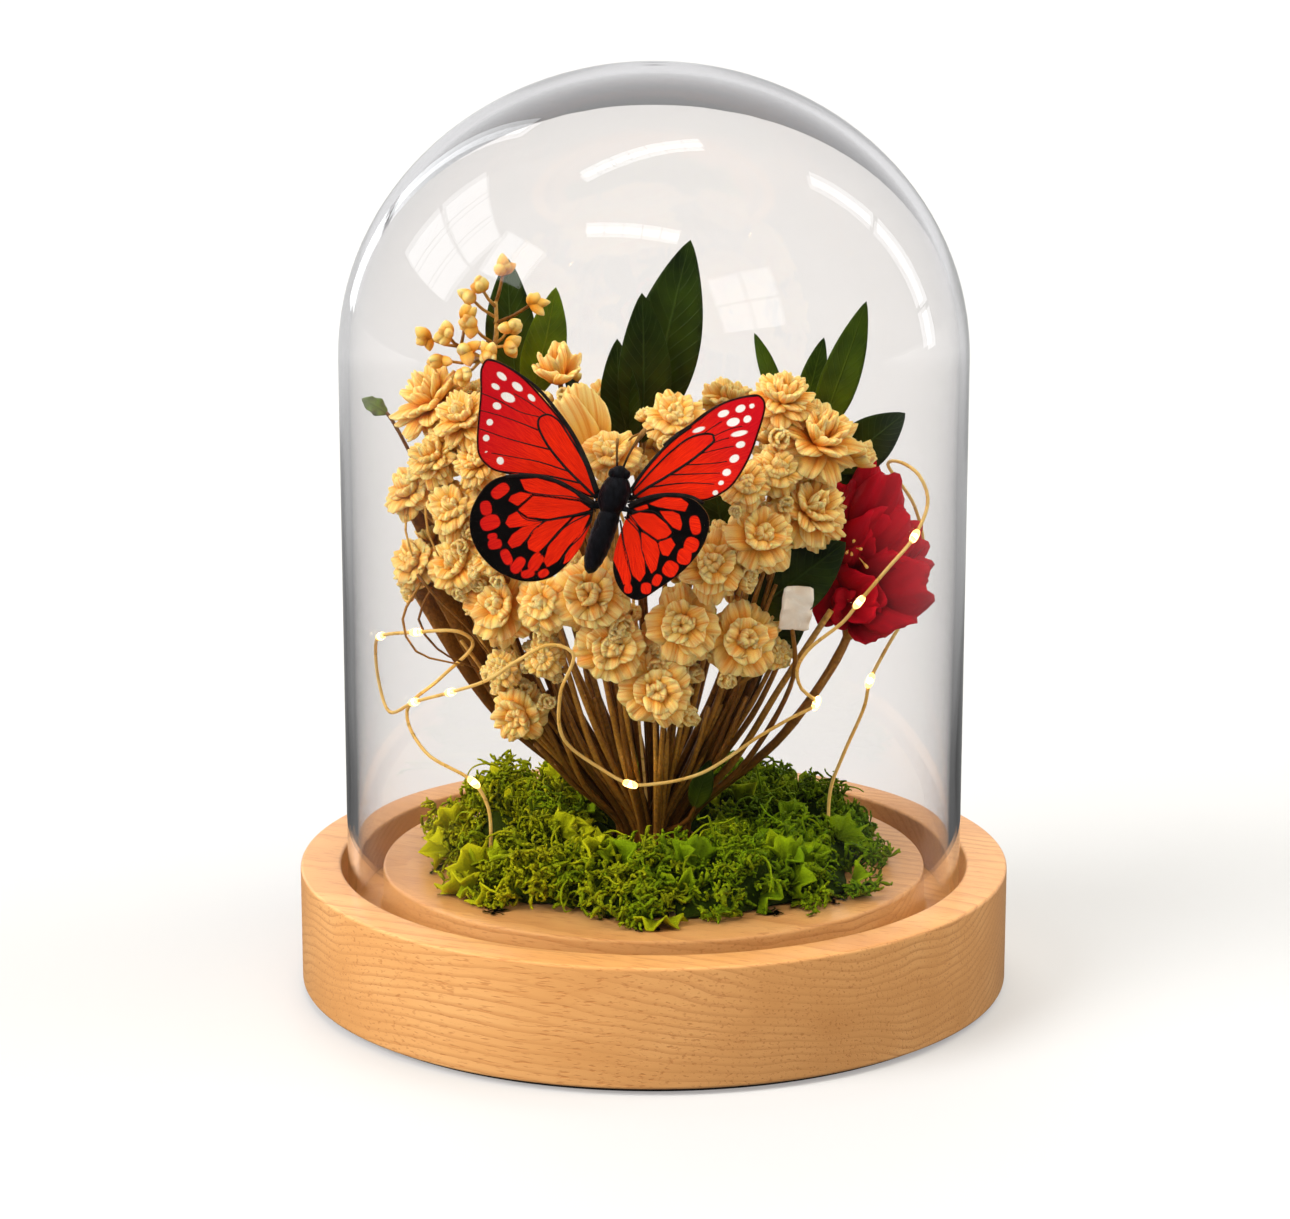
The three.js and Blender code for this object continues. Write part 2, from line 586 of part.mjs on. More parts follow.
// Wing outlines, seen from the front, in the butterfly's own X and Y
const WING_OUTLINES = {
  forewing_left: [
    [-2.6, 2.4], [-3.9, 6.1], [-6.9, 11.7], [-12.9, 19.2], [-16.6, 22.9], [-20.3, 25.2], [-22.6, 25.7],
    [-23.7, 24], [-23.8, 19.6], [-24.4, 10.6], [-24, 8], [-21.8, 5.7], [-18.8, 4.8], [-13.2, 3.7],
    [-6.8, 1.8], [-3.2, 0.6],
  ],
  hindwing_left: [
    [-3.4, -0.4], [-6.9, 1.8], [-10.3, 3.5], [-17, 4.8], [-21.8, 3.5], [-25, -1], [-25.6, -4.6],
    [-24.4, -8.8], [-20.7, -12.9], [-15.5, -14.8], [-11, -14], [-7.6, -11.1], [-5, -7.3],
  ],
  forewing_right: [
    [3.6, 1.6], [4.5, 3.9], [9.9, 10.2], [13.3, 13.2], [17, 16.2], [20.7, 18.1], [24.5, 19.1],
    [26.6, 19.2], [27.8, 17.7], [26.3, 11.3], [24.9, 7.6], [22.2, 3.1], [20.4, 1.5], [16.6, -0.1],
    [10.3, 0.6], [4.2, 0.4],
  ],
  hindwing_right: [
    [3.2, -1.2], [6.6, 0.5], [9.5, 0.9], [12.5, 0.8], [15.1, 0], [17.6, -3.2], [16.8, -7.7], [13.6, -12.2],
    [8.8, -15.9], [4.7, -18.2], [2.4, -17.2], [0.9, -15.2], [0.2, -12.6], [0.4, -9.6], [1.4, -6.2],
    [2.4, -3.6],
  ],
};
const WING_LEVEL = { forewing_left: -0.3, forewing_right: -0.3, hindwing_left: 0.9, hindwing_right: 0.9 };
const WING_RISE = 0.004;

// A wing plate that curls up a little towards its tip.
function wingPlate(outline, level) {
  const rim = new THREE.Shape(outline.map(([x, y]) => new THREE.Vector2(x, y)));
  const plate = new THREE.ExtrudeGeometry(rim, { depth: WING_THICKNESS, bevelEnabled: false });
  const corners = plate.getAttribute('position');
  for (let i = 0; i < corners.count; i += 1) {
    const rise = WING_RISE * corners.getX(i) ** 2;
    corners.setZ(i, corners.getZ(i) + level + rise);
  }
  return plate;
}
for (const [name, outline] of Object.entries(WING_OUTLINES)) {
  addPiece(name, wingPlate(outline, WING_LEVEL[name]), LOOK.wing(), butterfly);
}

function butterflyBody() {
  const bodyLine = point(0.36, 1, 0).normalize();
  const grown = [
    ovoid(point(-1.7, -6.2, 0.4), 1.9, 7.2, bodyLine, 8, 5),
    ovoid(point(0.5, 1.2, 0.6), 2.5, 3.4, bodyLine, 8, 4),
    ovoid(point(1.3, 4.7, 0.8), 1.5, 1.5, bodyLine, 6, 3),
  ];
  const feelers = [
    [[1, 5.2, 1], [0.9, 8, 1.6], [1, 11.3, 2.2]],
    [[1.7, 5.2, 1], [3.4, 9, 1.6], [6.1, 13, 2.4]],
  ];
  for (const feeler of feelers) grown.push(tube(feeler.map((place) => point(...place)), 0.3, 3, 2));
  for (const side of [-1, 1]) {
    for (const [along, splay] of [[1.6, 1.4], [-0.6, 2.6]]) {
      const hip = point(0.5 + 0.36 * along, along, -1.2);
      const knee = point(0.5 + side * (1.4 + splay), along + 0.4, -3.2);
      const toe = point(0.5 + side * (1 + splay), along - 1.2, -5);
      grown.push(tube([hip, knee, toe], 0.28, 3, 1));
    }
  }
  return grownTogether(grown);
}
addPiece('butterfly_body', butterflyBody(), LOOK.insectBody(), butterfly);

// The light string: one stiff wire from the moss, through the bouquet and back into the moss
const LIGHT_WIRE_ROUTE = [
  [34.3, -2, 25.5], [34.5, -2, 38], [36.7, -4, 45.6], [40.6, -6, 56], [41.4, -9, 62], [44.5, -4, 66.5],
  [50, 3, 74], [53, 6, 84], [51, 6, 93], [45, 0, 102.5], [47, -6, 104], [50, -10, 102.3], [51.6, -11, 98],
  [48.6, -17, 92], [43.5, -20, 86.5], [38.3, -20, 80], [35.5, -19, 76], [29, -19, 70.5], [27, -18, 66.5],
  [28, -15.5, 62], [30.9, -14, 58.8], [26, -14.5, 56], [20, -15, 52.5], [9, -16, 45.5], [0, -16.5, 43.5],
  [-4.5, -16.5, 43.5], [-10, -16.5, 46.5], [-17, -19, 53], [-17.5, -25, 63.5], [-15, -29.5, 72.5],
  [-19, -29, 74], [-25, -26.5, 70.5], [-31, -24, 66], [-38.5, -16, 61.5], [-46, -8, 57.5],
  [-51.5, -2, 54], [-54, 2, 59], [-54.3, 0, 66], [-52.5, -6, 70], [-45, -13, 72.5], [-37, -16.5, 73.5],
  [-34.5, -11, 69.5], [-41, -7, 62], [-48, -2, 54], [-44, -8, 47.5], [-34.5, -13.5, 43],
  [-31.7, -14.1, 38], [-31.5, -14, 25.5],
];
const LIGHT_BEAD_STOPS = [4, 13, 15, 20, 25, 33, 34, 38, 39, 45];
const lightString = [tube(LIGHT_WIRE_ROUTE.map((place) => point(...place)), WIRE_RADIUS, 3, 1)];
for (const stop of LIGHT_BEAD_STOPS) {
  const place = point(...LIGHT_WIRE_ROUTE[stop]);
  const along = point(...LIGHT_WIRE_ROUTE[stop + 1]).sub(point(...LIGHT_WIRE_ROUTE[stop - 1]));
  lightString.push(ovoid(place, 1.1, 2, along, 4, 3));
}
addPiece('light_string', grownTogether(lightString), LOOK.copper());

export default group;
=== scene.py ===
# %% [markdown]
# A butterfly and dried flowers under a glass dome, built as a lesson in cells.
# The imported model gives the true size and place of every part. This script dresses it: each soft or
# grown part gets a fine mesh of its own where its plain solid stands, and each surface gets a finish
# made of nodes. Lengths are written in millimetres, as a maker would, and turned to metres at the end.

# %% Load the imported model
import json
import math

import bpy
import numpy as np
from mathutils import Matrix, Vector

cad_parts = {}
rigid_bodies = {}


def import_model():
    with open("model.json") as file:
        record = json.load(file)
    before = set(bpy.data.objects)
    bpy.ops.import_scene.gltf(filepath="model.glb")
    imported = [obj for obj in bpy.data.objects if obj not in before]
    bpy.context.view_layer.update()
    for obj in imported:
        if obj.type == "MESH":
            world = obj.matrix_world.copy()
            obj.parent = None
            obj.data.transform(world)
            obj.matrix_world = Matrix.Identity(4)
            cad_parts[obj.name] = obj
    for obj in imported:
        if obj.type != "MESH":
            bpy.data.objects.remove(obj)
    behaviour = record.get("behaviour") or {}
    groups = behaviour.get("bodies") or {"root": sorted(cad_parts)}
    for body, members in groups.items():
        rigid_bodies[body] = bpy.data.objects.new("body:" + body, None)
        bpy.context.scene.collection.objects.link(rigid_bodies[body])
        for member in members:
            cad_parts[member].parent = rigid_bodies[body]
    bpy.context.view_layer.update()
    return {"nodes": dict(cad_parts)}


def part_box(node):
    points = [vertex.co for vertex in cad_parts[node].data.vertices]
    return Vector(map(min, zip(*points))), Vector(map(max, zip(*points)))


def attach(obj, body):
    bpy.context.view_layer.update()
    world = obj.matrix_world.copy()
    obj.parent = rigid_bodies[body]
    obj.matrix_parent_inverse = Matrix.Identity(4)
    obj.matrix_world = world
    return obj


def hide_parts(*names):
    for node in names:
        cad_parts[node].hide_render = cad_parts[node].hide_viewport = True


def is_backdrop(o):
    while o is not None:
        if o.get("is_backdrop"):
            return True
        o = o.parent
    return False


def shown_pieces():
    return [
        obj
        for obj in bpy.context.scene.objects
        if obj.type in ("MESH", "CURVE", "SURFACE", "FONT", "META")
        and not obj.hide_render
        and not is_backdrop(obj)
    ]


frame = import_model()
MM = 0.001
SEED = 7
print("packed nodes:", len(frame["nodes"]))


def node_box(name):
    """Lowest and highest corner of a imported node, in mm."""
    low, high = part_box(name)
    return np.array(low) / MM, np.array(high) / MM


# %% [markdown]
# Every mesh here is made from arrays: a list of points and lists of faces. Three small tools cover
# nearly all of it. A tube follows a line, a thick sheet gives a curved grid of points a front, a back
# and a rim, and a heap gathers many shells into one mesh. Doing it in arrays is faster than adding one
# object for each petal, and each point can carry marks, such as how far along the petal it is, which
# the materials read later.

# %% Arrays to meshes
def unit(vectors):
    return vectors / np.linalg.norm(vectors, axis=-1, keepdims=True)


def new_object(name, data):
    """Adds an object for a mesh, light or camera to the scene."""
    made = bpy.data.objects.new(name, data)
    bpy.context.scene.collection.objects.link(made)
    return made


def sheet_shares(rows, columns):
    """The place in a sheet: 0 to 1 along it, as a column, and -1 to 1 across it, as a row."""
    return np.linspace(0, 1, rows)[:, None], np.linspace(-1, 1, columns)[None, :]


def on_frame(origin, forward, side, normal, reach, half, level):
    """A grid of points from shares and heights measured along three directions."""
    return origin + forward * reach[..., None] + side * half[..., None] + normal * level[..., None]


class Heap:
    """Gathers closed shells, each with its marks, into the arrays of one mesh."""

    def __init__(self):
        self.points = []
        self.faces = []
        self.marks = {}
        self.count = 0

    def add(self, points, faces, **marks):
        self.points.append(points)
        self.faces += [face + self.count for face in faces]
        self.count += len(points)
        for name, value in marks.items():
            column = np.broadcast_to(np.asarray(value, float), len(points))
            self.marks.setdefault(name, []).append(column)

    def add_tube(self, line, radii, sides=8, flat=1.0, place=None, **marks):
        """Adds a tube, marked with the share along it. place moves its points, if given."""
        points, faces, along = tube(line, radii, sides, flat)
        self.add(place(points) if place else points, faces, **{"along": along, **marks})

    def add_sheet(self, grid, thickness, v, u, tone):
        """Adds a thick sheet, marked with the shares along and across it."""
        points, faces = thick_sheet(grid, thickness)
        self.add(points, faces, along=twice(v, grid), across=twice(u, grid), tone=tone)

    def piece(self, name, material, slot, *replaced):
        """Makes the mesh object, which rides on the root body and stands for the replaced nodes."""
        mesh = bpy.data.meshes.new(name)
        corners = [face for block in self.faces for face in block.tolist()]
        mesh.from_pydata((np.vstack(self.points) * MM).tolist(), [], corners)
        mesh.shade_smooth()
        for mark, columns in self.marks.items():
            layer = mesh.attributes.new(mark, "FLOAT", "POINT")
            layer.data.foreach_set("value", np.concatenate(columns).astype(np.float32))
        mesh.materials.append(material)
        made = new_object(name, mesh)
        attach(made, "root")
        if replaced:
            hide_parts(*replaced)
        return made


def thick_sheet(grid, thickness):
    """A closed shell from a grid of points: a front, a back and a rim round both."""
    rows, columns = grid.shape[:2]
    normal = np.cross(np.gradient(grid, axis=1), np.gradient(grid, axis=0))
    normal = normal / (np.linalg.norm(normal, axis=-1, keepdims=True) + 1e-9)
    half = np.broadcast_to(np.asarray(thickness, float), (rows, columns))[..., None] / 2
    points = np.concatenate([(grid + normal * half).reshape(-1, 3), (grid - normal * half).reshape(-1, 3)])
    index = np.arange(rows * columns).reshape(rows, columns)
    front = np.stack([index[:-1, :-1], index[:-1, 1:], index[1:, 1:], index[1:, :-1]], -1).reshape(-1, 4)
    back = front[:, ::-1] + rows * columns
    loop = np.concatenate([index[0, :-1], index[:-1, -1], index[-1, :0:-1], index[:0:-1, 0]])
    following = np.roll(loop, -1)
    rim = np.stack([following, loop, loop + rows * columns, following + rows * columns], -1)
    return points, [np.concatenate([front, back, rim])]


def twice(mark, grid):
    """A mark of a thick sheet's grid, for its front and its back."""
    return np.tile(np.broadcast_to(mark, grid.shape[:2]).ravel(), 2)


print("heaps and sheets ready")

# %% [markdown]
# Stems, wires and fronds all follow lines. One could use Blender's own curves, but arrays let each point
# keep its marks. A route of a few points becomes a smooth curve that passes through every one of them,
# and the tube carries its cross-section along without twisting it.

# %% Lines and tubes
def smooth_line(route, spacing):
    """Points about `spacing` apart on the smooth curve through the route."""
    route = np.asarray(route, float)
    ends = np.vstack([2 * route[0] - route[1], route, 2 * route[-1] - route[-2]])
    line = []
    for before, start, end, after in zip(ends, ends[1:], ends[2:], ends[3:]):
        steps = max(int(round(np.linalg.norm(end - start) / spacing)), 1)
        stretches = (start - before, end - start, after - end)
        first, middle, last = (max(np.linalg.norm(s), 1e-6) ** 0.5 for s in stretches)
        leaving = (start - before) / first - (end - before) / (first + middle) + (end - start) / middle
        coming = (end - start) / middle - (after - start) / (middle + last) + (after - end) / last
        leaving, coming = leaving * middle, coming * middle
        s = np.linspace(0, 1, steps, endpoint=False)[:, None]
        line.append(
            start + leaving * s + (3 * (end - start) - 2 * leaving - coming) * s**2
            + (2 * (start - end) + leaving + coming) * s**3
        )
    return np.vstack(line + [route[-1:]])


def tube(line, radii, sides=8, flat=1.0):
    """A closed tube round a line. `flat` under 1 makes it a ribbon. Returns points, faces and the share
    along the line of each point."""
    line = np.asarray(line, float)
    count = len(line)
    radii = np.broadcast_to(np.asarray(radii, float), count)
    tangents = unit(np.gradient(line, axis=0))
    normal = np.cross(tangents[0], [0.31, 0.17, 0.93])
    normals = []
    for tangent in tangents:
        normal = normal - tangent * (normal @ tangent)
        normal = normal / np.linalg.norm(normal)
        normals.append(normal)
    normals = np.array(normals)
    binormals = np.cross(tangents, normals)
    angles = (2 * np.pi * np.arange(sides) / sides)[None, :, None]
    ring = np.cos(angles) * normals[:, None] + flat * np.sin(angles) * binormals[:, None]
    points = np.concatenate([(line[:, None] + radii[:, None, None] * ring).reshape(-1, 3), line[[0, -1]]])
    index = np.arange(count * sides).reshape(count, sides)
    turned = np.roll(index, -1, axis=1)
    walls = np.stack([index[:-1], turned[:-1], turned[1:], index[1:]], -1).reshape(-1, 4)
    start, end = count * sides, count * sides + 1
    foot = np.stack([np.full(sides, start), turned[0], index[0]], -1)
    head = np.stack([np.full(sides, end), index[-1], turned[-1]], -1)
    share = np.concatenate([np.repeat(np.linspace(0, 1, count), sides), [0, 1]])
    return points, [walls, np.concatenate([foot, head])], share


def lathe(profile, sides):
    """A closed turned shape. The profile runs from axis to axis, or comes back to its start."""
    profile = np.asarray(profile, float)
    angles = 2 * np.pi * np.arange(sides) / sides
    radius, height = profile[:, :1], np.repeat(profile[:, 1:], sides, 1)
    points = np.stack([radius * np.cos(angles), radius * np.sin(angles), height], -1).reshape(-1, 3)
    index = np.arange(len(profile) * sides).reshape(len(profile), sides)
    turned = np.roll(index, -1, axis=1)
    walls = np.stack([index[:-1], turned[:-1], turned[1:], index[1:]], -1).reshape(-1, 4)
    return points, [walls]


print("lines, tubes and turned shapes ready")

# %% [markdown]
# Materials are trees of nodes. Writing each node and link by hand hides what a finish is made of, so
# one helper adds a node, sets it up and plugs its inputs in, and another starts a material with its
# Principled shader. An effect that several finishes share, such as streaks along a fibre, becomes a
# node group with named inputs and outputs, so that each material sets its own values.

# %% Node helpers
def plug(tree, made, feed):
    """Feeds a node. feed maps an input's name or number to a value or to another node's output."""
    for key, value in feed.items():
        if isinstance(value, bpy.types.NodeSocket):
            tree.links.new(value, made.inputs[key])
        else:
            made.inputs[key].default_value = value


def node(tree, kind, feed=None, **settings):
    """Adds a shader node, sets it up and feeds it."""
    made = tree.nodes.new("ShaderNode" + kind)
    for key, value in settings.items():
        setattr(made, key, value)
    plug(tree, made, feed or {})
    return made


def material(name, **values):
    """A material with a Principled shader. Values are the shader's own plain settings."""
    made = bpy.data.materials.new(name)
    made.use_nodes = True
    shader = made.node_tree.nodes["Principled BSDF"]
    for key, value in values.items():
        shader.inputs[key.replace("_", " ")].default_value = value
    return made, made.node_tree, shader


def object_place(tree):
    """The shaded point's place on the model, in metres."""
    return node(tree, "TexCoord").outputs["Object"]


def mark(tree, name):
    """The value of a mesh mark at the shaded point."""
    return node(tree, "Attribute", attribute_name=name).outputs["Fac"]


def math_node(tree, operation, *values):
    return node(tree, "Math", dict(enumerate(values)), operation=operation).outputs[0]


def times(tree, first, second):
    return math_node(tree, "MULTIPLY", first, second)


def vector_math(tree, operation, *values):
    return node(tree, "VectorMath", dict(enumerate(values)), operation=operation).outputs[0]


def joined_vector(tree, x=0.0, y=0.0, z=0.0):
    return node(tree, "CombineXYZ", {"X": x, "Y": y, "Z": z}).outputs[0]


def split_vector(tree, vector):
    return node(tree, "SeparateXYZ", {0: vector}).outputs


def noise(tree, place, scale, detail=2.0, **more):
    return node(tree, "TexNoise", {"Vector": place, "Scale": scale, "Detail": detail, **more}).outputs[0]


def span(tree, value, source=(0.0, 1.0), target=(0.0, 1.0), **settings):
    """Carries a value from one range to another and stops it at the ends."""
    ends = dict(zip(("From Min", "From Max", "To Min", "To Max"), (*source, *target)))
    return node(tree, "MapRange", {"Value": value, **ends}, **settings).outputs[0]


def blend(tree, factor, first, second):
    """Mixes two colours. The colour sockets of a Mix node are its sixth and seventh."""
    return node(tree, "Mix", {0: factor, 6: first, 7: second}, data_type="RGBA").outputs[2]


def toned(tree, colour, tone, low, high):
    """The colour, darker or lighter by the shell's own tone."""
    feed = {0: colour, "Scale": span(tree, tone, target=(low, high))}
    return node(tree, "VectorMath", feed, operation="SCALE").outputs[0]


def ramp(tree, factor, *stops):
    """A colour ramp. Each stop is (place, (r, g, b))."""
    made = node(tree, "ValToRGB", {"Fac": factor})
    elements = made.color_ramp.elements
    while len(elements) < len(stops):
        elements.new(0.5)
    for element, (place, colour) in zip(elements, stops):
        element.position = place
        element.color = (*colour, 1)
    return made.outputs["Color"]


def relief(tree, shader, height, distance, strength=1.0):
    bump = node(tree, "Bump", {"Height": height, "Distance": distance, "Strength": strength})
    tree.links.new(bump.outputs["Normal"], shader.inputs["Normal"])


def group_tree(name, inputs, outputs):
    """An empty node group. inputs maps a socket's name to its default, and outputs its name to a type."""
    tree = bpy.data.node_groups.new(name, "ShaderNodeTree")
    for label, default in inputs.items():
        kind = {1: "NodeSocketFloat", 3: "NodeSocketVector", 4: "NodeSocketColor"}[np.size(default)]
        tree.interface.new_socket(label, in_out="INPUT", socket_type=kind).default_value = default
    for label, kind in outputs.items():
        tree.interface.new_socket(label, in_out="OUTPUT", socket_type=kind)
    return tree, tree.nodes.new("NodeGroupInput").outputs, tree.nodes.new("NodeGroupOutput").inputs


def set_colour(tree, shader, colour):
    plug(tree, shader, {"Base Color": colour})


def shader_mix(tree, factor, first, second):
    return node(tree, "MixShader", {0: factor, 1: first, 2: second}).outputs[0]


def show(tree, surface):
    """Sends a shader to the material's output in place of the plain Principled one."""
    plug(tree, tree.nodes["Material Output"], {"Surface": surface})


print("node helpers ready")


# %% [markdown]
# Two groups serve most finishes. "Fibre streaks" is noise pulled out along one direction: wood pores,
# the pleats of a petal and the scales of a wing are all streaks at different sizes. "Soft edge" turns
# a measured distance into a mask with a clean, slightly soft border, for the marks on the wings.

# %% Shared node groups
fibre_streaks, given, result = group_tree(
    "Fibre streaks",
    {"Vector": (0.0, 0.0, 0.0), "Along": 1.0, "Across": 10.0, "Low": 0.35, "High": 0.65},
    {"Streaks": "NodeSocketFloat", "Raw": "NodeSocketFloat"},
)
pull = joined_vector(fibre_streaks, given["Along"], given["Across"], given["Across"])
raw = noise(fibre_streaks, vector_math(fibre_streaks, "MULTIPLY", given["Vector"], pull), 1.0, 3.0)
streaks = span(fibre_streaks, raw, (given["Low"], given["High"]))
fibre_streaks.links.new(streaks, result["Streaks"])
fibre_streaks.links.new(raw, result["Raw"])

soft_edge, given, result = group_tree(
    "Soft edge", {"Distance": 0.0, "Reach": 1.0, "Softness": 0.1}, {"Mask": "NodeSocketFloat"}
)
inner = math_node(soft_edge, "SUBTRACT", given["Reach"], given["Softness"])
outer = math_node(soft_edge, "ADD", given["Reach"], given["Softness"])
falling = span(soft_edge, given["Distance"], (inner, outer), (1.0, 0.0), interpolation_type="SMOOTHSTEP")
soft_edge.links.new(falling, result["Mask"])


def streaks_of(tree, place, along, across, low, high):
    """The outputs of "Fibre streaks", placed in a material's tree."""
    feed = {"Vector": place, "Along": along, "Across": across, "Low": low, "High": high}
    made = node(tree, "Group", node_tree=fibre_streaks)
    plug(tree, made, feed)
    return made.outputs


def edge_mask(tree, distance, reach, softness):
    """The mask of "Soft edge", placed in a material's tree."""
    made = node(tree, "Group", node_tree=soft_edge)
    plug(tree, made, {"Distance": distance, "Reach": reach, "Softness": softness})
    return made.outputs["Mask"]


print("node groups:", fibre_streaks.name, "and", soft_edge.name)

# %% [markdown]
# The camera comes before any piece, because each is judged through it. The photograph was taken from a
# little above, so the rings of the base open into ellipses. How open they are gives the tilt, and how
# the dome's sides converge gives the distance. The lens is long and there is no shift.

# %% Camera
CAMERA_PLACE = Vector((-1.7, -677.6, 231.2)) * MM
CAMERA_TILT = math.radians(13.08)
camera_data = bpy.data.cameras.new("camera")
camera_data.lens = 100.2
camera_data.sensor_width = 36
camera_data.clip_end = 50
camera = new_object("camera", camera_data)
camera.location = CAMERA_PLACE
camera.rotation_euler = (math.pi / 2 - CAMERA_TILT, 0, 0)
bpy.context.scene.camera = camera
print("camera looks down", round(math.degrees(CAMERA_TILT), 1), "degrees")

# %% [markdown]
# The base is pale hardwood, turned on a lathe and lightly lacquered. Its growth lines are not painted
# round the disc: they are rings of the trunk that the disc was cut from. So the finish is made in
# space, with rings about a line that runs from left to right above the disc. Where the curved side
# cuts through them, they bend into the long arches that the photograph shows at the right.

# %% Wood finish
def wood_finish():
    made, tree, shader = material("turned_wood", Roughness=0.45, Coat_Weight=0.4, Coat_Roughness=0.22)
    place = object_place(tree)
    feed = {"Vector": place, "Angle": math.radians(22)}
    turned = node(tree, "VectorRotate", feed, rotation_type="Z_AXIS").outputs[0]
    from_trunk = vector_math(tree, "SUBTRACT", turned, (0.0, -0.02, 0.1))
    squeezed = vector_math(tree, "MULTIPLY", from_trunk, (0.25, 1.0, 1.0))
    sway = node(tree, "TexNoise", {"Vector": squeezed, "Scale": 30.0, "Detail": 2.0}).outputs["Color"]
    swayed = vector_math(tree, "MULTIPLY_ADD", sway, (0.012, 0.012, 0.012), from_trunk)
    feed = {"Vector": swayed, "Scale": 190.0, "Distortion": 1.6, "Detail": 2.0, "Detail Scale": 0.7}
    settings = {"wave_type": "RINGS", "rings_direction": "X", "wave_profile": "SAW"}
    rings = node(tree, "TexWave", feed, **settings).outputs["Fac"]
    figure = noise(tree, squeezed, 60.0, 3.0)
    line = span(tree, rings, (0.55, 1.0))
    boldness = span(tree, figure, (0.35, 0.65), (0.08, 0.55))
    faint = times(tree, line, boldness)
    pores = streaks_of(tree, turned, 260.0, 2300.0, 0.56, 0.68)["Streaks"]
    wood_tones = (0.3, (0.67, 0.315, 0.1)), (0.52, (0.75, 0.375, 0.13)), (0.75, (0.83, 0.455, 0.175))
    ground = ramp(tree, figure, *wood_tones)
    lined = blend(tree, faint, ground, (0.4, 0.12, 0.02, 1))
    flecked = blend(tree, times(tree, pores, 0.45), lined, (0.42, 0.13, 0.025, 1))
    set_colour(tree, shader, flecked)
    plug(tree, shader, {"Roughness": span(tree, figure, target=(0.36, 0.52))})
    relief(tree, shader, math_node(tree, "SUBTRACT", times(tree, line, -0.2), pores), 0.00003)
    return made


wood = wood_finish()
print("finish:", wood.name)

# %% [markdown]
# The imported base has flat facets and sharp chamfers, which is too coarse for a close look. The dressed
# base is turned again at the same size, with 240 sides and small round edges, as sandpaper leaves them. Its
# outer radius and its heights are read from the imported solid; the ring's inner radius, the plinth's radius
# and the groove's floor are given as numbers.

# %% Base and pad
base_low, base_high = node_box("wooden_base")
BASE_RADIUS = base_high[0]
BASE_TOP = base_high[2]
PAD_TOP = base_low[2]
RING_INNER_RADIUS = 61.3
PLINTH_RADIUS = 53.1
GROOVE_FLOOR = 16.2
TURNED_SIDES = 240


def rounded(corners, radius, steps=4):
    """The profile with each inner corner turned into a small arc."""
    corners = np.asarray(corners, float)
    line = [corners[0]]
    for before, corner, after in zip(corners, corners[1:], corners[2:]):
        start = corner + unit(before - corner) * radius
        end = corner + unit(after - corner) * radius
        for s in np.linspace(0, 1, steps + 1):
            line.append((1 - s) ** 2 * start + 2 * s * (1 - s) * corner + s**2 * end)
    return np.array(line + [corners[-1]])


def wooden_base():
    profile = rounded(
        [
            [0.01, PAD_TOP], [BASE_RADIUS, PAD_TOP], [BASE_RADIUS, BASE_TOP], [RING_INNER_RADIUS, BASE_TOP],
            [RING_INNER_RADIUS, GROOVE_FLOOR], [PLINTH_RADIUS, GROOVE_FLOOR], [PLINTH_RADIUS, BASE_TOP],
            [0.01, BASE_TOP],
        ],
        0.7,
    )
    heap = Heap()
    heap.add(*lathe(np.vstack([profile, profile[:1]]), TURNED_SIDES))
    return heap.piece("base_turned", wood, "turned_wood", "wooden_base")


def felt_finish():
    made, tree, shader = material("dark_felt", Roughness=0.95)
    place = object_place(tree)
    fuzz = noise(tree, place, 900.0, 3.0)
    set_colour(tree, shader, ramp(tree, fuzz, (0.3, (0.008, 0.007, 0.007)), (0.75, (0.035, 0.032, 0.03))))
    relief(tree, shader, fuzz, 0.0003)
    return made


def felt_pad():
    pad_high = node_box("base_pad")[1]
    profile = [[0.01, 0], [pad_high[0], 0], [pad_high[0], pad_high[2]], [0.01, pad_high[2]], [0.01, 0]]
    heap = Heap()
    heap.add(*lathe(profile, TURNED_SIDES))
    made = heap.piece("pad_felt", felt_finish(), "base_pad", "base_pad")
    made.data.shade_flat()
    return made


wooden_base()
felt_pad()
print("base radius", round(float(BASE_RADIUS), 1), "mm, top at", round(float(BASE_TOP), 1), "mm")

# %% [markdown]
# The dome is blown glass, 2 mm thick, with a fire-polished lower rim. Glass shows itself at its edges,
# where the eye looks along the wall, and in the reflections of windows and lamps. The shader is plain
# transmission with the index of glass. Shadow rays go straight through it, because the small bright
# patterns that real glass throws would only be noise here.

# %% Glass dome
DOME = {"radius": 60.0, "wall": 2.0, "shoulder": 123.6, "top": 179.0}
DOME_SIDES = 144


def glass_finish():
    made, tree, shader = material(
        "clear_glass", Base_Color=(0.95, 0.94, 0.94, 1), Roughness=0.0, IOR=1.45, Transmission_Weight=1.0
    )
    place = object_place(tree)
    waves = noise(tree, place, 16.0, 1.0)
    relief(tree, shader, waves, 0.0006)
    clear = node(tree, "BsdfTransparent", {"Color": (0.95, 0.955, 0.955, 1)})
    by_ray = node(tree, "LightPath").outputs["Is Shadow Ray"]
    show(tree, shader_mix(tree, by_ray, shader.outputs[0], clear.outputs[0]))
    return made


def dome_arc(inset, steps=32):
    turn = np.linspace(0, np.pi / 2, steps)
    radius = (DOME["radius"] - inset) * np.cos(turn)
    height = DOME["shoulder"] + (DOME["top"] - DOME["shoulder"] - inset) * np.sin(turn)
    radius[-1] = 0.01
    return np.stack([radius, height], -1)


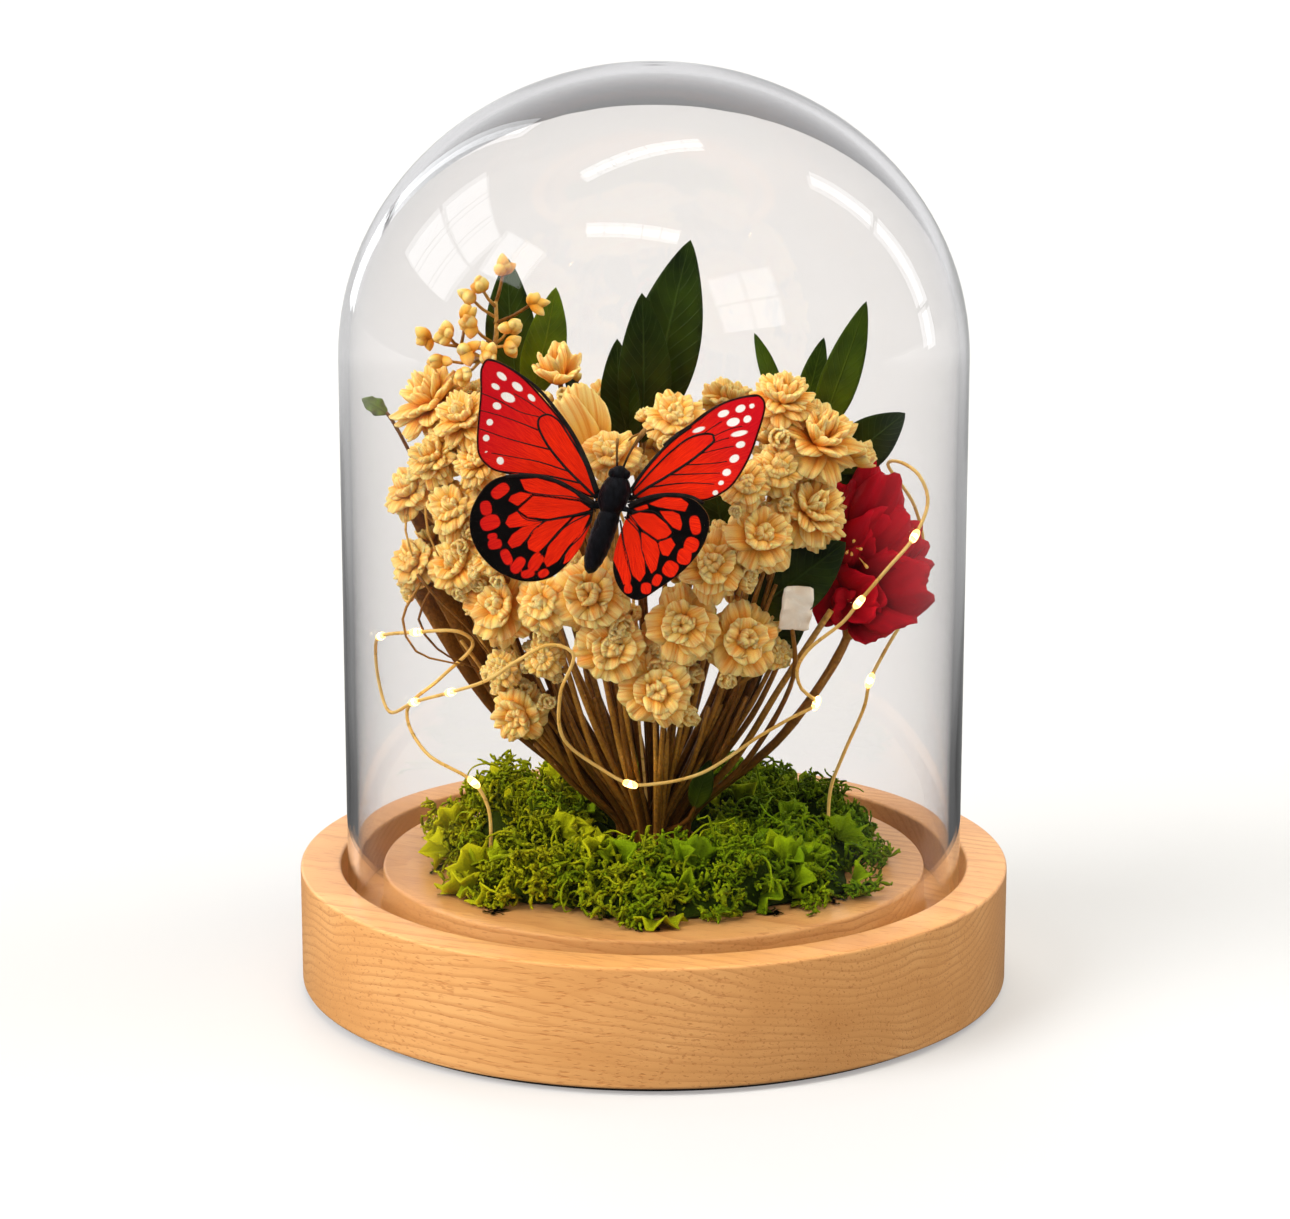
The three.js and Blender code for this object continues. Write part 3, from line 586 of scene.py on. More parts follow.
def glass_dome():
    inner, outer = DOME["radius"] - DOME["wall"], DOME["radius"]
    wall = np.linspace(GROOVE_FLOOR + 2, DOME["shoulder"], 12, endpoint=False)
    turn = np.linspace(0, np.pi, 9)[1:-1]
    middle = (inner + outer) / 2
    rim = np.stack([middle - np.cos(turn), GROOVE_FLOOR + 1 - np.sin(turn)], -1)
    profile = np.vstack(
        [
            dome_arc(DOME["wall"])[::-1],
            np.stack([np.full(12, inner), wall[::-1]], -1),
            rim,
            np.stack([np.full(12, outer), wall], -1),
            dome_arc(0),
        ]
    )
    heap = Heap()
    heap.add(*lathe(profile, DOME_SIDES))
    return heap.piece("dome_clear", glass_finish(), "dome_glass", "glass_dome")


glass_dome()
print("dome", 2 * DOME["radius"], "mm across")

# %% [markdown]
# Dried stems are slender, woody and a little glossy. Their colour runs from dark brown in the crowd near the
# tie, which is painted shade, to gold, which is partly their own colour and partly painted highlight where
# light catches them. Each runs where its solid does: the foot is read from the imported node, and the rest
# repeats the route that the solid was made from. A thin stem is a tube whose radius swells a little at the
# nodes and thins towards the head.

# %% Stem routes
STEM_RADIUS = 0.75
BRANCH_RADIUS = 0.55
WAIST_Z = 31.0
FOOT_Z = 24.5
BOUQUET_CORE = np.array([0, 2, 62.0])
BLOSSOM_SPRIGS = {
    "sprig_01": [[-43, -5, 117, 7], [-36, -15, 115, 5.3]],
    "sprig_02": [[-42, -13, 107, 4.8], [-33, -18, 107, 4.6]],
    "sprig_03": [[-47, -8, 100, 4.9], [-38, -17, 98, 5.3]],
    "sprig_04": [[-46.5, -9, 86, 4.7], [-38, -15, 87, 5.3]],
    "sprig_05": [[-30, -21, 90, 4], [-29.5, -19, 79, 6]],
    "sprig_06": [[-21, -24, 81, 5], [-21, -20, 69, 3.5]],
    "sprig_07": [[-12, -26, 83, 6.5]],
    "sprig_08": [[-8, -25, 72.5, 6.1]],
    "sprig_09": [[0.6, -24, 63.5, 6.3]],
    "sprig_10": [[-26.5, -14, 56, 5], [-29, -18, 66.5, 3.2]],
    "sprig_11": [[5.4, -25, 77, 6.3]],
    "sprig_12": [[17, -22.5, 73.5, 6.3], [23.5, -16.5, 69, 2.7]],
    "sprig_13": [[11, -25, 88.5, 5.7], [17, -24, 104, 4]],
    "sprig_14": [[20, -24, 94, 6]],
    "sprig_15": [[30, -18, 98, 6.5]],
    "sprig_16": [[31.5, -14, 111, 7.4], [24.5, -13, 118.5, 5.8]],
    "sprig_17": [[23, -20, 106, 4.5]],
    "sprig_18": [[4, -17, 115.5, 4.8], [-8, -20, 109, 4.8]],
    "sprig_19": [[-18, -8, 121, 4.2]],
    "sprig_20": [[-32, 13, 113, 5.5], [-42, 7, 103, 5]],
    "sprig_21": [[-20, 20, 103, 5.6], [-9, 18, 113, 5]],
    "sprig_22": [[4, 23, 104, 5.8], [15, 18, 113, 5]],
    "sprig_23": [[26, 18, 101, 5.6], [35, 13, 88, 5.2]],
    "sprig_24": [[-30, 17, 86, 5.5], [-14, 24, 84, 6]],
    "sprig_25": [[3, 24, 84, 6], [19, 20, 80, 5.6]],
}


def foot_of(name):
    """Where a stem stands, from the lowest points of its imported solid, in mm."""
    points = np.array([v.co for v in frame["nodes"][name].data.vertices]) / MM
    return points[points[:, 2] < FOOT_Z + 0.2].mean(0)[:2]


def stem_route(name, target):
    """The same route as the solid: upright from the foot, out, and up again to the target."""
    seat = foot_of(name)
    foot = np.array([*seat, FOOT_Z])
    waist = np.array([*(seat * 1.02), WAIST_Z])
    target = np.asarray(target, float)
    reach = target - waist
    middle = (waist + target) / 2 + 0.1 * np.array([reach[0], reach[1], 0])
    middle[2] -= 0.03 * np.linalg.norm(reach)
    return [foot, waist, middle, target]


def facing_of(centre):
    """A blossom faces away from the core of the bouquet, turned more to the front or the back."""
    away = centre - BOUQUET_CORE
    return unit(away * [0.55, 1.6, 0.8])


def fork_of(blossoms):
    middle = np.mean([blossom[:3] for blossom in blossoms], axis=0)
    waist = np.array([0, 0, WAIST_Z])
    return waist + (middle - waist) * 0.78 + np.array([0, 2 * np.sign(-middle[1]), 0])


def add_stem(heap, route, foot_radius, head_radius, rng, sides=8):
    """A woody tube with slight swellings, marked with its share along and its own tone."""
    line = smooth_line(route, 2.8)
    share = np.linspace(0, 1, len(line))
    knots = 1 + 0.1 * np.maximum(0, np.sin(share * rng.uniform(20, 34) + rng.uniform(0, 6))) ** 6
    radii = (foot_radius + (head_radius - foot_radius) * share) * knots
    heap.add_tube(line, radii, sides, tone=rng.random(), across=0)


def stem_finish():
    made, tree, shader = material("dried_stem", Roughness=0.3, Coat_Weight=0.3, Coat_Roughness=0.2)
    place = object_place(tree)
    tone = mark(tree, "tone")
    streaks = streaks_of(tree, place, 1500.0, 1500.0, 0.3, 0.7)["Streaks"]
    # Darker low down, where the stems crowd near the tie: painted shade. The gold end of the ramp below is
    # partly the stems' own colour and partly painted highlight.
    height = span(tree, split_vector(tree, place)["Z"], (0.03, 0.075))
    painted_light_and_tone = math_node(tree, "ADD", times(tree, height, 0.4), times(tree, tone, 0.6))
    browns = (0.05, (0.035, 0.012, 0.002)), (0.4, (0.22, 0.08, 0.009))
    golds_and_painted_highlight = (0.7, (0.55, 0.25, 0.035)), (1.0, (0.9, 0.52, 0.12))
    ground = ramp(tree, painted_light_and_tone, *browns, *golds_and_painted_highlight)
    set_colour(tree, shader, blend(tree, times(tree, streaks, 0.55), ground, (0.06, 0.02, 0.003, 1)))
    relief(tree, shader, streaks, 0.0001)
    return made


stem_look = stem_finish()
print("sprigs:", len(BLOSSOM_SPRIGS), "with", sum(map(len, BLOSSOM_SPRIGS.values())), "blossoms")

# %% [markdown]
# A dried blossom is a little pompom of papery petals. Each petal is a fan: a narrow claw, a broad
# scalloped edge, and pleats that run from the one to the other. One could sculpt a single petal and
# copy it, but copies look stamped. Here a formula makes each petal, with its own pleats, curl and
# scallops from a seeded random source, and rings of petals open from the heart outward: plump and
# closed inside, wide and bent back outside.

# %% Petals and blossoms
PETAL_THICKNESS = 0.36


def petal_grid(length, width, rng, cup, curl, pleats, rows=5, columns=13):
    """A fan-shaped petal: x across, y along and z towards the heart of the flower."""
    v, u = sheet_shares(rows, columns)
    phase = rng.uniform(0, 2 * np.pi)
    ridges = np.cos(pleats * np.pi * u + phase)
    reach = v * (1 - 0.34 * np.abs(u) ** 3.6 + 0.05 * ridges + 0.02 * rng.standard_normal((1, columns)))
    half = 0.5 * width * (0.26 + 0.74 * np.sin(0.5 * np.pi * np.minimum(v * 1.25, 1)) ** 0.8)
    lean = rng.uniform(-0.14, 0.14)
    x = u * half + lean * length * v**2
    z = cup * width * u**2 * v + curl * length * v**2 + 0.055 * width * v * ridges
    return np.stack([np.broadcast_to(x, reach.shape), length * reach, z], -1), v, u


# Rings of a blossom: petals, opening from the axis in degrees, length and width as shares of the
# radius, cup, curl and plumpness in mm
OPEN_RINGS = [
    (6, 98, 1.08, 1.1, 0.04, -0.14, 1.0),
    (6, 72, 1.06, 0.98, 0.06, -0.06, 1.2),
    (5, 46, 0.92, 0.8, 0.12, 0.02, 1.4),
    (3, 20, 0.72, 0.62, 0.2, 0.1, 1.5),
]
POMPOM_RINGS = [
    (8, 108, 1.04, 0.74, 0.1, -0.16, 0.8),
    (8, 86, 1.08, 0.7, 0.12, -0.1, 0.9),
    (7, 62, 1.06, 0.64, 0.16, -0.04, 1.0),
    (6, 38, 1.0, 0.56, 0.2, 0.0, 1.1),
    (3, 14, 0.95, 0.5, 0.26, 0.04, 1.2),
]
BUD_RINGS = [(4, 40, 1.5, 1.1, 0.3, 0.2, 0.6), (2, 16, 1.5, 0.95, 0.35, 0.2, 0.7)]
FOLDED_RINGS = [(4, 52, 1.45, 1.2, 0.25, 0.0, 0.7), (3, 28, 1.6, 1.0, 0.3, 0.1, 0.8)]
POMPOMS = ("sprig_16", "sprig_15", "sprig_01", "sprig_02")


def across_axes(axis):
    """Two directions square to the axis and to each other."""
    side = unit(np.cross(axis, [0.12, 0.2, 0.97]))
    return side, np.cross(axis, side)


def turned_to(angle, side, other):
    """The direction at an angle from side towards other."""
    return math.cos(angle) * side + math.sin(angle) * other


def add_blossom(heap, centre, axis, radius, rings, rng, **fineness):
    side, other = across_axes(axis)
    heart = centre - 0.38 * radius * axis
    for count, opening, length, width, cup, curl, plump in rings:
        start = rng.uniform(0, 2 * np.pi)
        for k in range(count):
            round_angle = start + 2 * np.pi * (k + rng.uniform(-0.16, 0.16)) / count
            open_angle = math.radians(opening + rng.uniform(-9, 9))
            radial = turned_to(round_angle, side, other)
            out = turned_to(open_angle, axis, radial)
            inward = turned_to(open_angle, -radial, axis)
            grid, v, u = petal_grid(
                length * radius * rng.uniform(0.88, 1.06), width * radius * rng.uniform(0.88, 1.1), rng,
                cup, curl + rng.uniform(-0.06, 0.06), pleats=rng.uniform(1.7, 2.9), **fineness,
            )
            placed = heart + grid @ np.stack([np.cross(out, inward), out, inward])
            body = PETAL_THICKNESS + plump * np.sin(np.pi * v**1.5) ** 0.7 * (1 - np.abs(u) ** 3)
            heap.add_sheet(placed, body, v, u, rng.random())


def blossom_finish():
    made, tree, shader = material(
        "dried_petal", Roughness=0.65, Specular_IOR_Level=0.3, Subsurface_Weight=0.45,
        Subsurface_Radius=(1.0, 0.55, 0.2), Subsurface_Scale=0.002,
    )
    along, across, tone = mark(tree, "along"), mark(tree, "across"), mark(tree, "tone")
    own_place = joined_vector(tree, times(tree, tone, 37.0), across, along)
    fibres = vector_math(tree, "MULTIPLY", own_place, (1.0, 4.2, 0.5))
    streaks = noise(tree, fibres, 1.6, 3.0)
    # Darker towards each petal's foot, deep in the blossom: partly the petals' own colour and partly painted
    # shade.
    feet_and_painted_shade = (0.0, (0.38, 0.06, 0.002)), (0.35, (0.88, 0.29, 0.018))
    ground = ramp(tree, along, *feet_and_painted_shade, (0.7, (1.0, 0.55, 0.11)), (1.0, (1.0, 0.76, 0.3)))
    # The deeper orange along the pleat streaks is partly the petals' own colour and partly painted shade in
    # the creases.
    pleats_and_painted_crease_shade = blend(tree, span(tree, streaks, (0.45, 0.68), (0.0, 0.75)), ground, (0.82, 0.25, 0.014, 1))
    set_colour(tree, shader, toned(tree, pleats_and_painted_crease_shade, tone, 0.9, 1.04))
    relief(tree, shader, times(tree, streaks, -1.0), 0.0004, 0.6)
    return made


petal_look = blossom_finish()
BLOSSOM_GROWTH = 1.1
# Flat dry stalks at the left: how many each sprig has
BROAD_STALKS = {"sprig_02": 1, "sprig_03": 3, "sprig_04": 2}
# Thin golden tendrils and twigs
TENDRILS = {
    "sprig_03": [
        [[-46.5, -10, 97], [-46.8, -12, 92], [-45.5, -12, 87]],
        [[-43, -13, 97], [-42.4, -14, 92], [-40.5, -14, 87.5]],
    ],
    "sprig_04": [
        [[-44.5, -14, 84], [-41, -16, 80], [-36, -16, 75], [-30, -15, 67]],
        [[-44, -12, 82], [-47.5, -13, 75], [-45, -14, 69], [-36, -15, 66.5]],
        [[-42, -12, 81], [-44.5, -13, 75], [-41, -14, 69.5], [-34, -15, 66]],
    ],
    "sprig_18": [
        [[-3, -16, 103], [0, -19, 107.5], [5, -20, 110.5], [10, -20, 113.5]],
        [[-2, -15, 102], [3, -19, 105.5], [8, -20, 108], [13, -20, 112]],
        [[-6, -16, 104], [-6.5, -19, 108], [-4, -20, 111.5], [0, -20, 113]],
    ],
}


def add_companions(heap, route, rng, count):
    """Bare stalks that rise beside a stem and end among the heads."""
    for _ in range(count):
        drift = rng.normal(0, 1, 3) * [2.6, 2.0, 0.8]
        share = np.linspace(0, 1, len(route))[:, None]
        beside = np.array(route, float) + np.array([*rng.normal(0, 0.55, 2), 0]) + drift * share**1.5
        beside[0, 2] = FOOT_Z
        beside[-1, 2] -= rng.uniform(0, 6)
        add_stem(heap, beside, rng.uniform(0.6, 0.85), rng.uniform(0.35, 0.5), rng, sides=7)


def blossom_sprig(name, blossoms):
    rng = np.random.default_rng(SEED + int(name[-2:]))
    stems, petals = Heap(), Heap()
    heads = []
    for x, y, z, radius in blossoms:
        centre = np.array([x, y, z], float)
        axis = facing_of(centre)
        heads.append((centre, axis, radius * BLOSSOM_GROWTH, centre - 0.9 * radius * axis - [0, 0, 1.5]))
    first = heads[0]
    neck = first[0] - 0.3 * first[2] * first[1]
    if len(heads) > 1:
        fork = fork_of(blossoms)
        trunk = stem_route(name, fork)
        add_stem(stems, [*trunk, first[3], neck], STEM_RADIUS, 0.5, rng)
        second = heads[1]
        add_stem(stems, [fork, second[3], second[0] - 0.3 * second[2] * second[1]], BRANCH_RADIUS, 0.42, rng)
    else:
        trunk = stem_route(name, first[3])
        add_stem(stems, [*trunk, neck], STEM_RADIUS, 0.5, rng)
    add_companions(stems, trunk, rng, 3)
    for _ in range(BROAD_STALKS.get(name, 0)):
        top = first[0] + rng.normal(0, 1, 3) * [2.5, 1, 1] + [2, 4, -4]
        line = smooth_line(stem_route(name, top), 2.8)
        swelling = 0.35 + 0.3 * np.sin(0.5 * np.pi * np.linspace(0, 1, len(line)) ** 2)
        stems.add_tube(line, swelling, 12, flat=3.2, tone=0.15, across=0)
    for route in TENDRILS.get(name, []):
        add_stem(stems, route, 0.3, 0.18, rng, sides=6)
    rings = POMPOM_RINGS if name in POMPOMS else FOLDED_RINGS if name == "sprig_19" else OPEN_RINGS
    for centre, axis, radius, foot in heads:
        add_blossom(petals, centre, axis, radius, rings, rng)
        side, other = across_axes(axis)
        for _ in range(3):
            outward = turned_to(rng.uniform(0, 2 * np.pi), side, other)
            bud = centre + outward * radius * rng.uniform(0.8, 1.15) - axis * radius * rng.uniform(0.55, 0.9)
            bud_axis = unit(axis + 0.9 * outward)
            bud_radius = radius * rng.uniform(0.32, 0.46)
            add_blossom(petals, bud, bud_axis, bud_radius, BUD_RINGS, rng, rows=4, columns=7)
            add_stem(stems, [foot, (foot + bud) / 2 - 0.6 * axis, bud], 0.32, 0.26, rng, sides=6)
    stems.piece(name + "_stem", stem_look, "dried_stem", name)
    return petals.piece(name + "_petals", petal_look, "dried_blossom", name)


for sprig_name, blossoms in BLOSSOM_SPRIGS.items():
    blossom_sprig(sprig_name, blossoms)
petal_faces = sum(len(o.data.polygons) for o in bpy.data.objects if o.name.endswith("_petals"))
print("blossom petals:", petal_faces, "faces")

# %% [markdown]
# Leaves are blades folded a little along the midrib, arched and waved at the edge. The solid gives the
# base, the tip and the way each one faces, and the fine mesh adds the sharp tip, the raised midrib and
# the waves. Side veins are too fine to model, so the finish draws them from two marks: how far along
# and how far across the blade a point is.

# %% Leaf shapes
LEAF_THICKNESS = 0.35
LEAF_ARCH = 0.06
LEAF_FOLD = 0.2


def leaf_frame(base, tip, faces):
    """Length, and the three directions of a leaf or petal: forward, sideways and out of its face."""
    forward = np.asarray(tip, float) - base
    length = np.linalg.norm(forward)
    forward = forward / length
    side = unit(np.cross(forward, faces))
    return length, forward, side, np.cross(side, forward)


def blade_grid(base, tip, width, faces, belly=0.45, wave=0.5, blunt=0.05, fullness=0.8):
    """A leaf as a grid, by the same rule as its solid, with waved edges. A low fullness squares its ends."""
    length, forward, side, normal = leaf_frame(base, tip, faces)
    v, u = sheet_shares(28, 11)
    narrowing = math.log(0.5) / math.log(belly)
    swell = np.maximum(np.sin(np.pi * v**narrowing), 0) ** fullness
    half = blunt + (width / 2 - blunt) * swell
    level = LEAF_ARCH * length * np.sin(np.pi * v) + LEAF_FOLD * half * np.abs(u) ** 1.3
    level = level + wave * 0.25 * np.sin(v * 17 + np.sign(u) * 1.3) * u**2 * swell
    return on_frame(np.asarray(base, float), forward, side, normal, length * v, u * half, level), v, u


def add_blade(heap, rng, *place, **shape):
    grid, v, u = blade_grid(*place, **shape)
    rib = 0.35 * np.exp(-((u / 0.12) ** 2)) * (1 - v)
    heap.add_sheet(grid, LEAF_THICKNESS * (1 - 0.6 * np.abs(u)) + rib, v, u, rng.random())


def leaf_finish(name, dark, light, vein, young):
    """Satin leaf: side veins slant forward from the midrib, and `young` is a yellow-green tint."""
    made, tree, shader = material(name, Roughness=0.38, Specular_IOR_Level=0.35)
    along, across, tone = mark(tree, "along"), mark(tree, "across"), mark(tree, "tone")
    place = object_place(tree)
    off_rib = math_node(tree, "ABSOLUTE", across)
    slant = math_node(tree, "SUBTRACT", times(tree, along, 13.0), times(tree, off_rib, 2.6))
    step = math_node(tree, "FRACT", slant)
    from_vein = math_node(tree, "ABSOLUTE", math_node(tree, "SUBTRACT", step, 0.5))
    side_veins = edge_mask(tree, from_vein, 0.05, 0.045)
    midrib = edge_mask(tree, off_rib, 0.035, 0.03)
    veins = math_node(tree, "MAXIMUM", midrib, times(tree, side_veins, 0.4))
    cloud = noise(tree, place, 160.0, 3.0)
    ground = ramp(tree, cloud, (0.3, dark), (0.72, light))
    near_foot = math_node(tree, "SUBTRACT", 1.0, along)
    yellowed = times(tree, math_node(tree, "POWER", near_foot, 2.0), 0.5)
    aged = blend(tree, times(tree, yellowed, cloud), ground, (*young, 1))
    leafy = toned(tree, aged, tone, 0.7, 1.15)
    set_colour(tree, shader, blend(tree, times(tree, veins, 0.6), leafy, (*vein, 1)))
    relief(tree, shader, math_node(tree, "ADD", veins, times(tree, cloud, 0.4)), 0.00018)
    return made


# Each finish: its dark and light ground, its veins, and the yellow-green of its foot
LEAF_TINTS = {
    "dark_leaf": [(0.004, 0.012, 0.001), (0.024, 0.05, 0.002), (0.05, 0.085, 0.012), (0.17, 0.18, 0.002)],
    "fresh_leaf": [(0.012, 0.032, 0.001), (0.06, 0.11, 0.002), (0.11, 0.17, 0.012), (0.2, 0.24, 0.002)],
    "bright_leaf": [(0.05, 0.1, 0.001), (0.16, 0.24, 0.002), (0.24, 0.3, 0.02), (0.26, 0.28, 0.002)],
    "brown_leaf": [(0.02, 0.012, 0.003), (0.07, 0.035, 0.008), (0.1, 0.05, 0.015), (0.09, 0.07, 0.01)],
}
leaf_finishes = [leaf_finish(name, *tints) for name, tints in LEAF_TINTS.items()]
LEAF_LOOKS = dict(zip(("dark", "fresh", "young", "brown"), leaf_finishes))
print("leaf finishes:", ", ".join(LEAF_TINTS))

# %% [markdown]
# Each sprig is a stalk with one to three blades. The tables give a blade's base, tip, width and the way
# it faces, as the solids have them, so the stalk can be led from the tied foot into every blade.

# %% Leaf sprigs
# Each sprig: where its stalk forks, and its leaves: base, tip, width, facing and what else is special
LEAF_SPRIGS = {
    "leaf_sprig_centre": ([-3, 2, 98], [
        ([-1.5, 4.5, 107], [7, 8, 144.6], 13.5, [-0.1, -1, 0.15]),
        ([-2.5, 2, 106], [-2.3, 0.5, 135.4], 10.5, [0.25, -1, 0.2]),
        ([-4.5, 1, 105], [-7, 1, 126.5], 8, [-0.4, -1, 0.1]),
    ]),
    "leaf_beside_centre": ([-8, -4, 102], [
        ([-8.4, -4.5, 106], [-17, -5, 120.5], 5.5, [0.3, -1, 0.5]),
    ]),
    "leaf_pair_left": ([-24, 5, 109], [
        ([-24, 4, 114], [-18.7, 4, 136], 8.5, [0.3, -1, 0.1], {"look": "young"}),
        ([-26, 6.5, 114], [-28, 8, 141], 10, [-0.2, -1, 0.1]),
    ]),
    "leaf_sprig_upper_right": ([26, -2, 104], [
        ([24.5, 4, 112], [19.3, 5, 127], 3.6, [0.2, -1, 0.1], {"look": "fresh"}),
        ([28.5, 3, 110], [32.6, 4, 126.3], 5, [-0.1, -1, 0.1], {"look": "fresh"}),
        ([31, 0, 107], [40.3, -1, 134], 7.4, [0.1, -1, 0.2], {"look": "fresh"}),
    ]),
    "leaf_pair_right": ([31, 1, 82], [
        ([35, 1, 101], [48, -2, 112.8], 9.5, [-0.1, -1, 0.3]),
        ([30, 0, 84], [38, 2, 107], 12, [0.1, -1, 0]),
    ]),
    "leaf_pair_low": ([16, -12, 67], [
        ([18, -15.5, 76.5], [36, -15.5, 90.5], 12.5, [0, -1, 0.3]),
        ([18, -13, 66], [29, -11.5, 80], 9, [0.2, -1, 0]),
        ([14, -11, 87], [10, -12, 107], 10, [0, -1, 0.2]),
    ]),
    "strap_leaf": ([8.6, 3, 40], [
        ([10.4, 3.8, 44], [21.5, 5.4, 72], 8, [0.2, -1, 0.1], {"belly": 0.6, "look": "brown"}),
    ]),
    "small_low_leaf": ([7, -9, 34.5], [
        ([7.8, -10.5, 37], [10.8, -13.5, 47.5], 4.5, [0, -1, 0.3]),
    ]),
    "leaf_scrap": ([-47, 0, 105], [
        ([-51, -1.5, 112.6], [-56, -2, 115.5], 3.4, [0, -1, 0.6], {"wave": 2.5, "look": "young"}),
    ]),
}


def leaf_sprig(name, fork, leaves):
    rng = np.random.default_rng(SEED + len(name) * 3)
    stalks, blades = Heap(), {}
    for index, (base, tip, width, faces, *special) in enumerate(leaves):
        shape = dict(*special)
        look = shape.pop("look", "dark")
        inside = base + (np.array(tip) - base) * 0.06
        if index == 0:
            add_stem(stalks, [*stem_route(name, fork), base, inside], STEM_RADIUS, 0.35, rng)
        else:
            add_stem(stalks, [fork, base, inside], BRANCH_RADIUS, 0.3, rng)
        add_blade(blades.setdefault(look, Heap()), rng, base, tip, width, faces, **shape)
    stalks.piece(name + "_stalk", stem_look, "dried_stem", name)
    for look, heap in blades.items():
        heap.piece(name + "_blades_" + look, LEAF_LOOKS[look], "dried_leaf", name)


for sprig_name, (fork, leaves) in LEAF_SPRIGS.items():
    leaf_sprig(sprig_name, fork, leaves)
print("leaf sprigs:", len(LEAF_SPRIGS))

# %% [markdown]
# Two dry, papery bracts sit among the blossoms. The right one is a square tab: a blade with blunt ends
# and a finish of faint wrinkles instead of veins. The left one is a fan of two broad golden petals, made
# by the same formula as a blossom's petals, only larger.

# %% Bracts
# The square bract: base, tip, width and facing
SQUARE_BRACT = ([26.0, -18.6, 74.4], [27.0, -19.6, 83], 6.0, [0.2, -1, 0])
# The fan's two petals: base and tip
FAN_BRACT = [([-12, -15.6, 107], [-12.2, -15.4, 120]), ([-12.5, -16.6, 106], [-16.2, -17.2, 118.6])]
FAN_WIDTH = 9.5


def bract_finish():
    made, tree, shader = material("white_bract", Roughness=0.7)
    place = object_place(tree)
    wrinkles = noise(tree, place, 330.0, 4.0, Distortion=0.8)
    pale = ramp(tree, wrinkles, (0.3, (0.95, 0.8, 0.62)), (0.6, (1.0, 0.92, 0.78)), (0.8, (1.0, 0.97, 0.9)))
    set_colour(tree, shader, pale)
    relief(tree, shader, wrinkles, 0.0004)
    return made


def square_bract():
    rng = np.random.default_rng(SEED + 12)
    stalk, plate = Heap(), Heap()
    base = np.array(SQUARE_BRACT[0])
    route = [*stem_route("bract_right", [26.5, -14, 64]), base, base + [0, 0, 0.8]]
    add_stem(stalk, route, STEM_RADIUS, 0.4, rng)
    add_blade(plate, rng, *SQUARE_BRACT, belly=0.5, fullness=0.08, blunt=2.2, wave=1.2)
    stalk.piece("bract_right_stalk", stem_look, "dried_stem", "bract_right")
    return plate.piece("bract_right_plate", bract_finish(), "cream_bract", "bract_right")


def fan_bract():
    rng = np.random.default_rng(SEED + 11)
    stalk, petals = Heap(), Heap()
    route = [*stem_route("bract_left", [-13, -12, 100]), FAN_BRACT[0][0], [-12, -15.6, 108]]
    add_stem(stalk, route, STEM_RADIUS, 0.4, rng)
    for base, tip in FAN_BRACT:
        length, forward, side, normal = leaf_frame(base, tip, [0.1, -1, 0.2])
        grid, v, u = petal_grid(length, FAN_WIDTH, rng, 0.08, -0.08, pleats=1.4, rows=14, columns=21)
        placed = base + grid @ np.stack([side, forward, normal])
        petals.add_sheet(placed, 0.4, 0.35 + 0.65 * v, u, rng.random())
    stalk.piece("bract_left_stalk", stem_look, "dried_stem", "bract_left")
    return petals.piece("bract_left_petals", petal_look, "cream_bract", "bract_left")


bracts = [square_bract(), fan_bract()]
print("bracts:", ", ".join(o.name for o in bracts))

# %% [markdown]
# The bud spray at the top left has the same make-up as the blossoms, in small: a forked twig, short
# stalks, and plump buds. A bud is a tube that swells and closes, with shallow furrows round it.

# %% Bud spray
BUD_FORK = np.array([-31, -2, 121.0])
# Each twig: its top, and the places of its buds
BUD_TWIGS = [
    ([-30, -1, 134], [
        [-34.7, -3, 135], [-32.4, -5, 137], [-28.5, 1, 139.5], [-34.5, -4, 130], [-27, -5, 129.5],
        [-23, -2, 133.7],
    ]),
    ([-37, -1, 125.5], [
        [-39, -4, 128], [-43, -1, 127], [-36, 3, 130], [-40, -6, 123.5], [-35.5, -7, 125.5],
        [-31, -7, 124.5], [-27.5, -7, 126.5], [-35.5, -9, 121.5],
    ]),
]
BUD_PROFILE = np.array([0.4, 0.9, 1.2, 1.4, 1.45, 1.35, 1.1, 0.75, 0.2])


def bud_spray():
    rng = np.random.default_rng(SEED)
    twigs, buds = Heap(), Heap()
    add_stem(twigs, stem_route("bud_spray", BUD_FORK), STEM_RADIUS, 0.6, rng)
    for top, places in BUD_TWIGS:
        top = np.array(top, float)
        add_stem(twigs, [BUD_FORK, (BUD_FORK + top) / 2 + [0.6, 0, 0.3], top], BRANCH_RADIUS, 0.35, rng)
        for place in places:
            centre = np.array(place, float)
            share = np.clip((centre[2] - BUD_FORK[2]) / (top[2] - BUD_FORK[2]) - 0.3, 0.35, 0.95)
            joint = BUD_FORK + (top - BUD_FORK) * share
            add_stem(twigs, [joint, (joint + centre) / 2 - [0, 0, 0.4], centre], 0.35, 0.3, rng, sides=6)
            axis = unit(centre - joint)
            for turn in range(5):
                lean = unit(axis + 0.8 * rng.standard_normal(3))
                line = centre + np.linspace(-0.8, 3.1, 9)[:, None] * lean * rng.uniform(0.7, 1.15)
                radii = BUD_PROFILE * rng.uniform(0.7, 1.0)
                buds.add_tube(line, radii, 10, across=0.3 * turn, tone=rng.random())
    twigs.piece("bud_spray_twigs", stem_look, "dried_stem", "bud_spray")
    return buds.piece("bud_spray_buds", petal_look, "dried_blossom", "bud_spray")


buds = bud_spray()
print("bud spray:", len(buds.data.polygons), "faces")

# %% [markdown]
# The red flower at the right is a ruffled bloom seen from the side. Its petals are broad, soft and deeply
# folded, so light only reaches their outer bends; the finish paints this in, with painted shade that darkens
# each petal towards its foot. Each is a scalloped sheet between the calyx and the tip that the solid gives.
# Smaller petals are tucked between, as in the real flower, which hides the gaps.

# %% Red flower
CALYX = np.array([38, -6, 72.5])
RED_HEART = np.array([37.4, -8, 88.0])
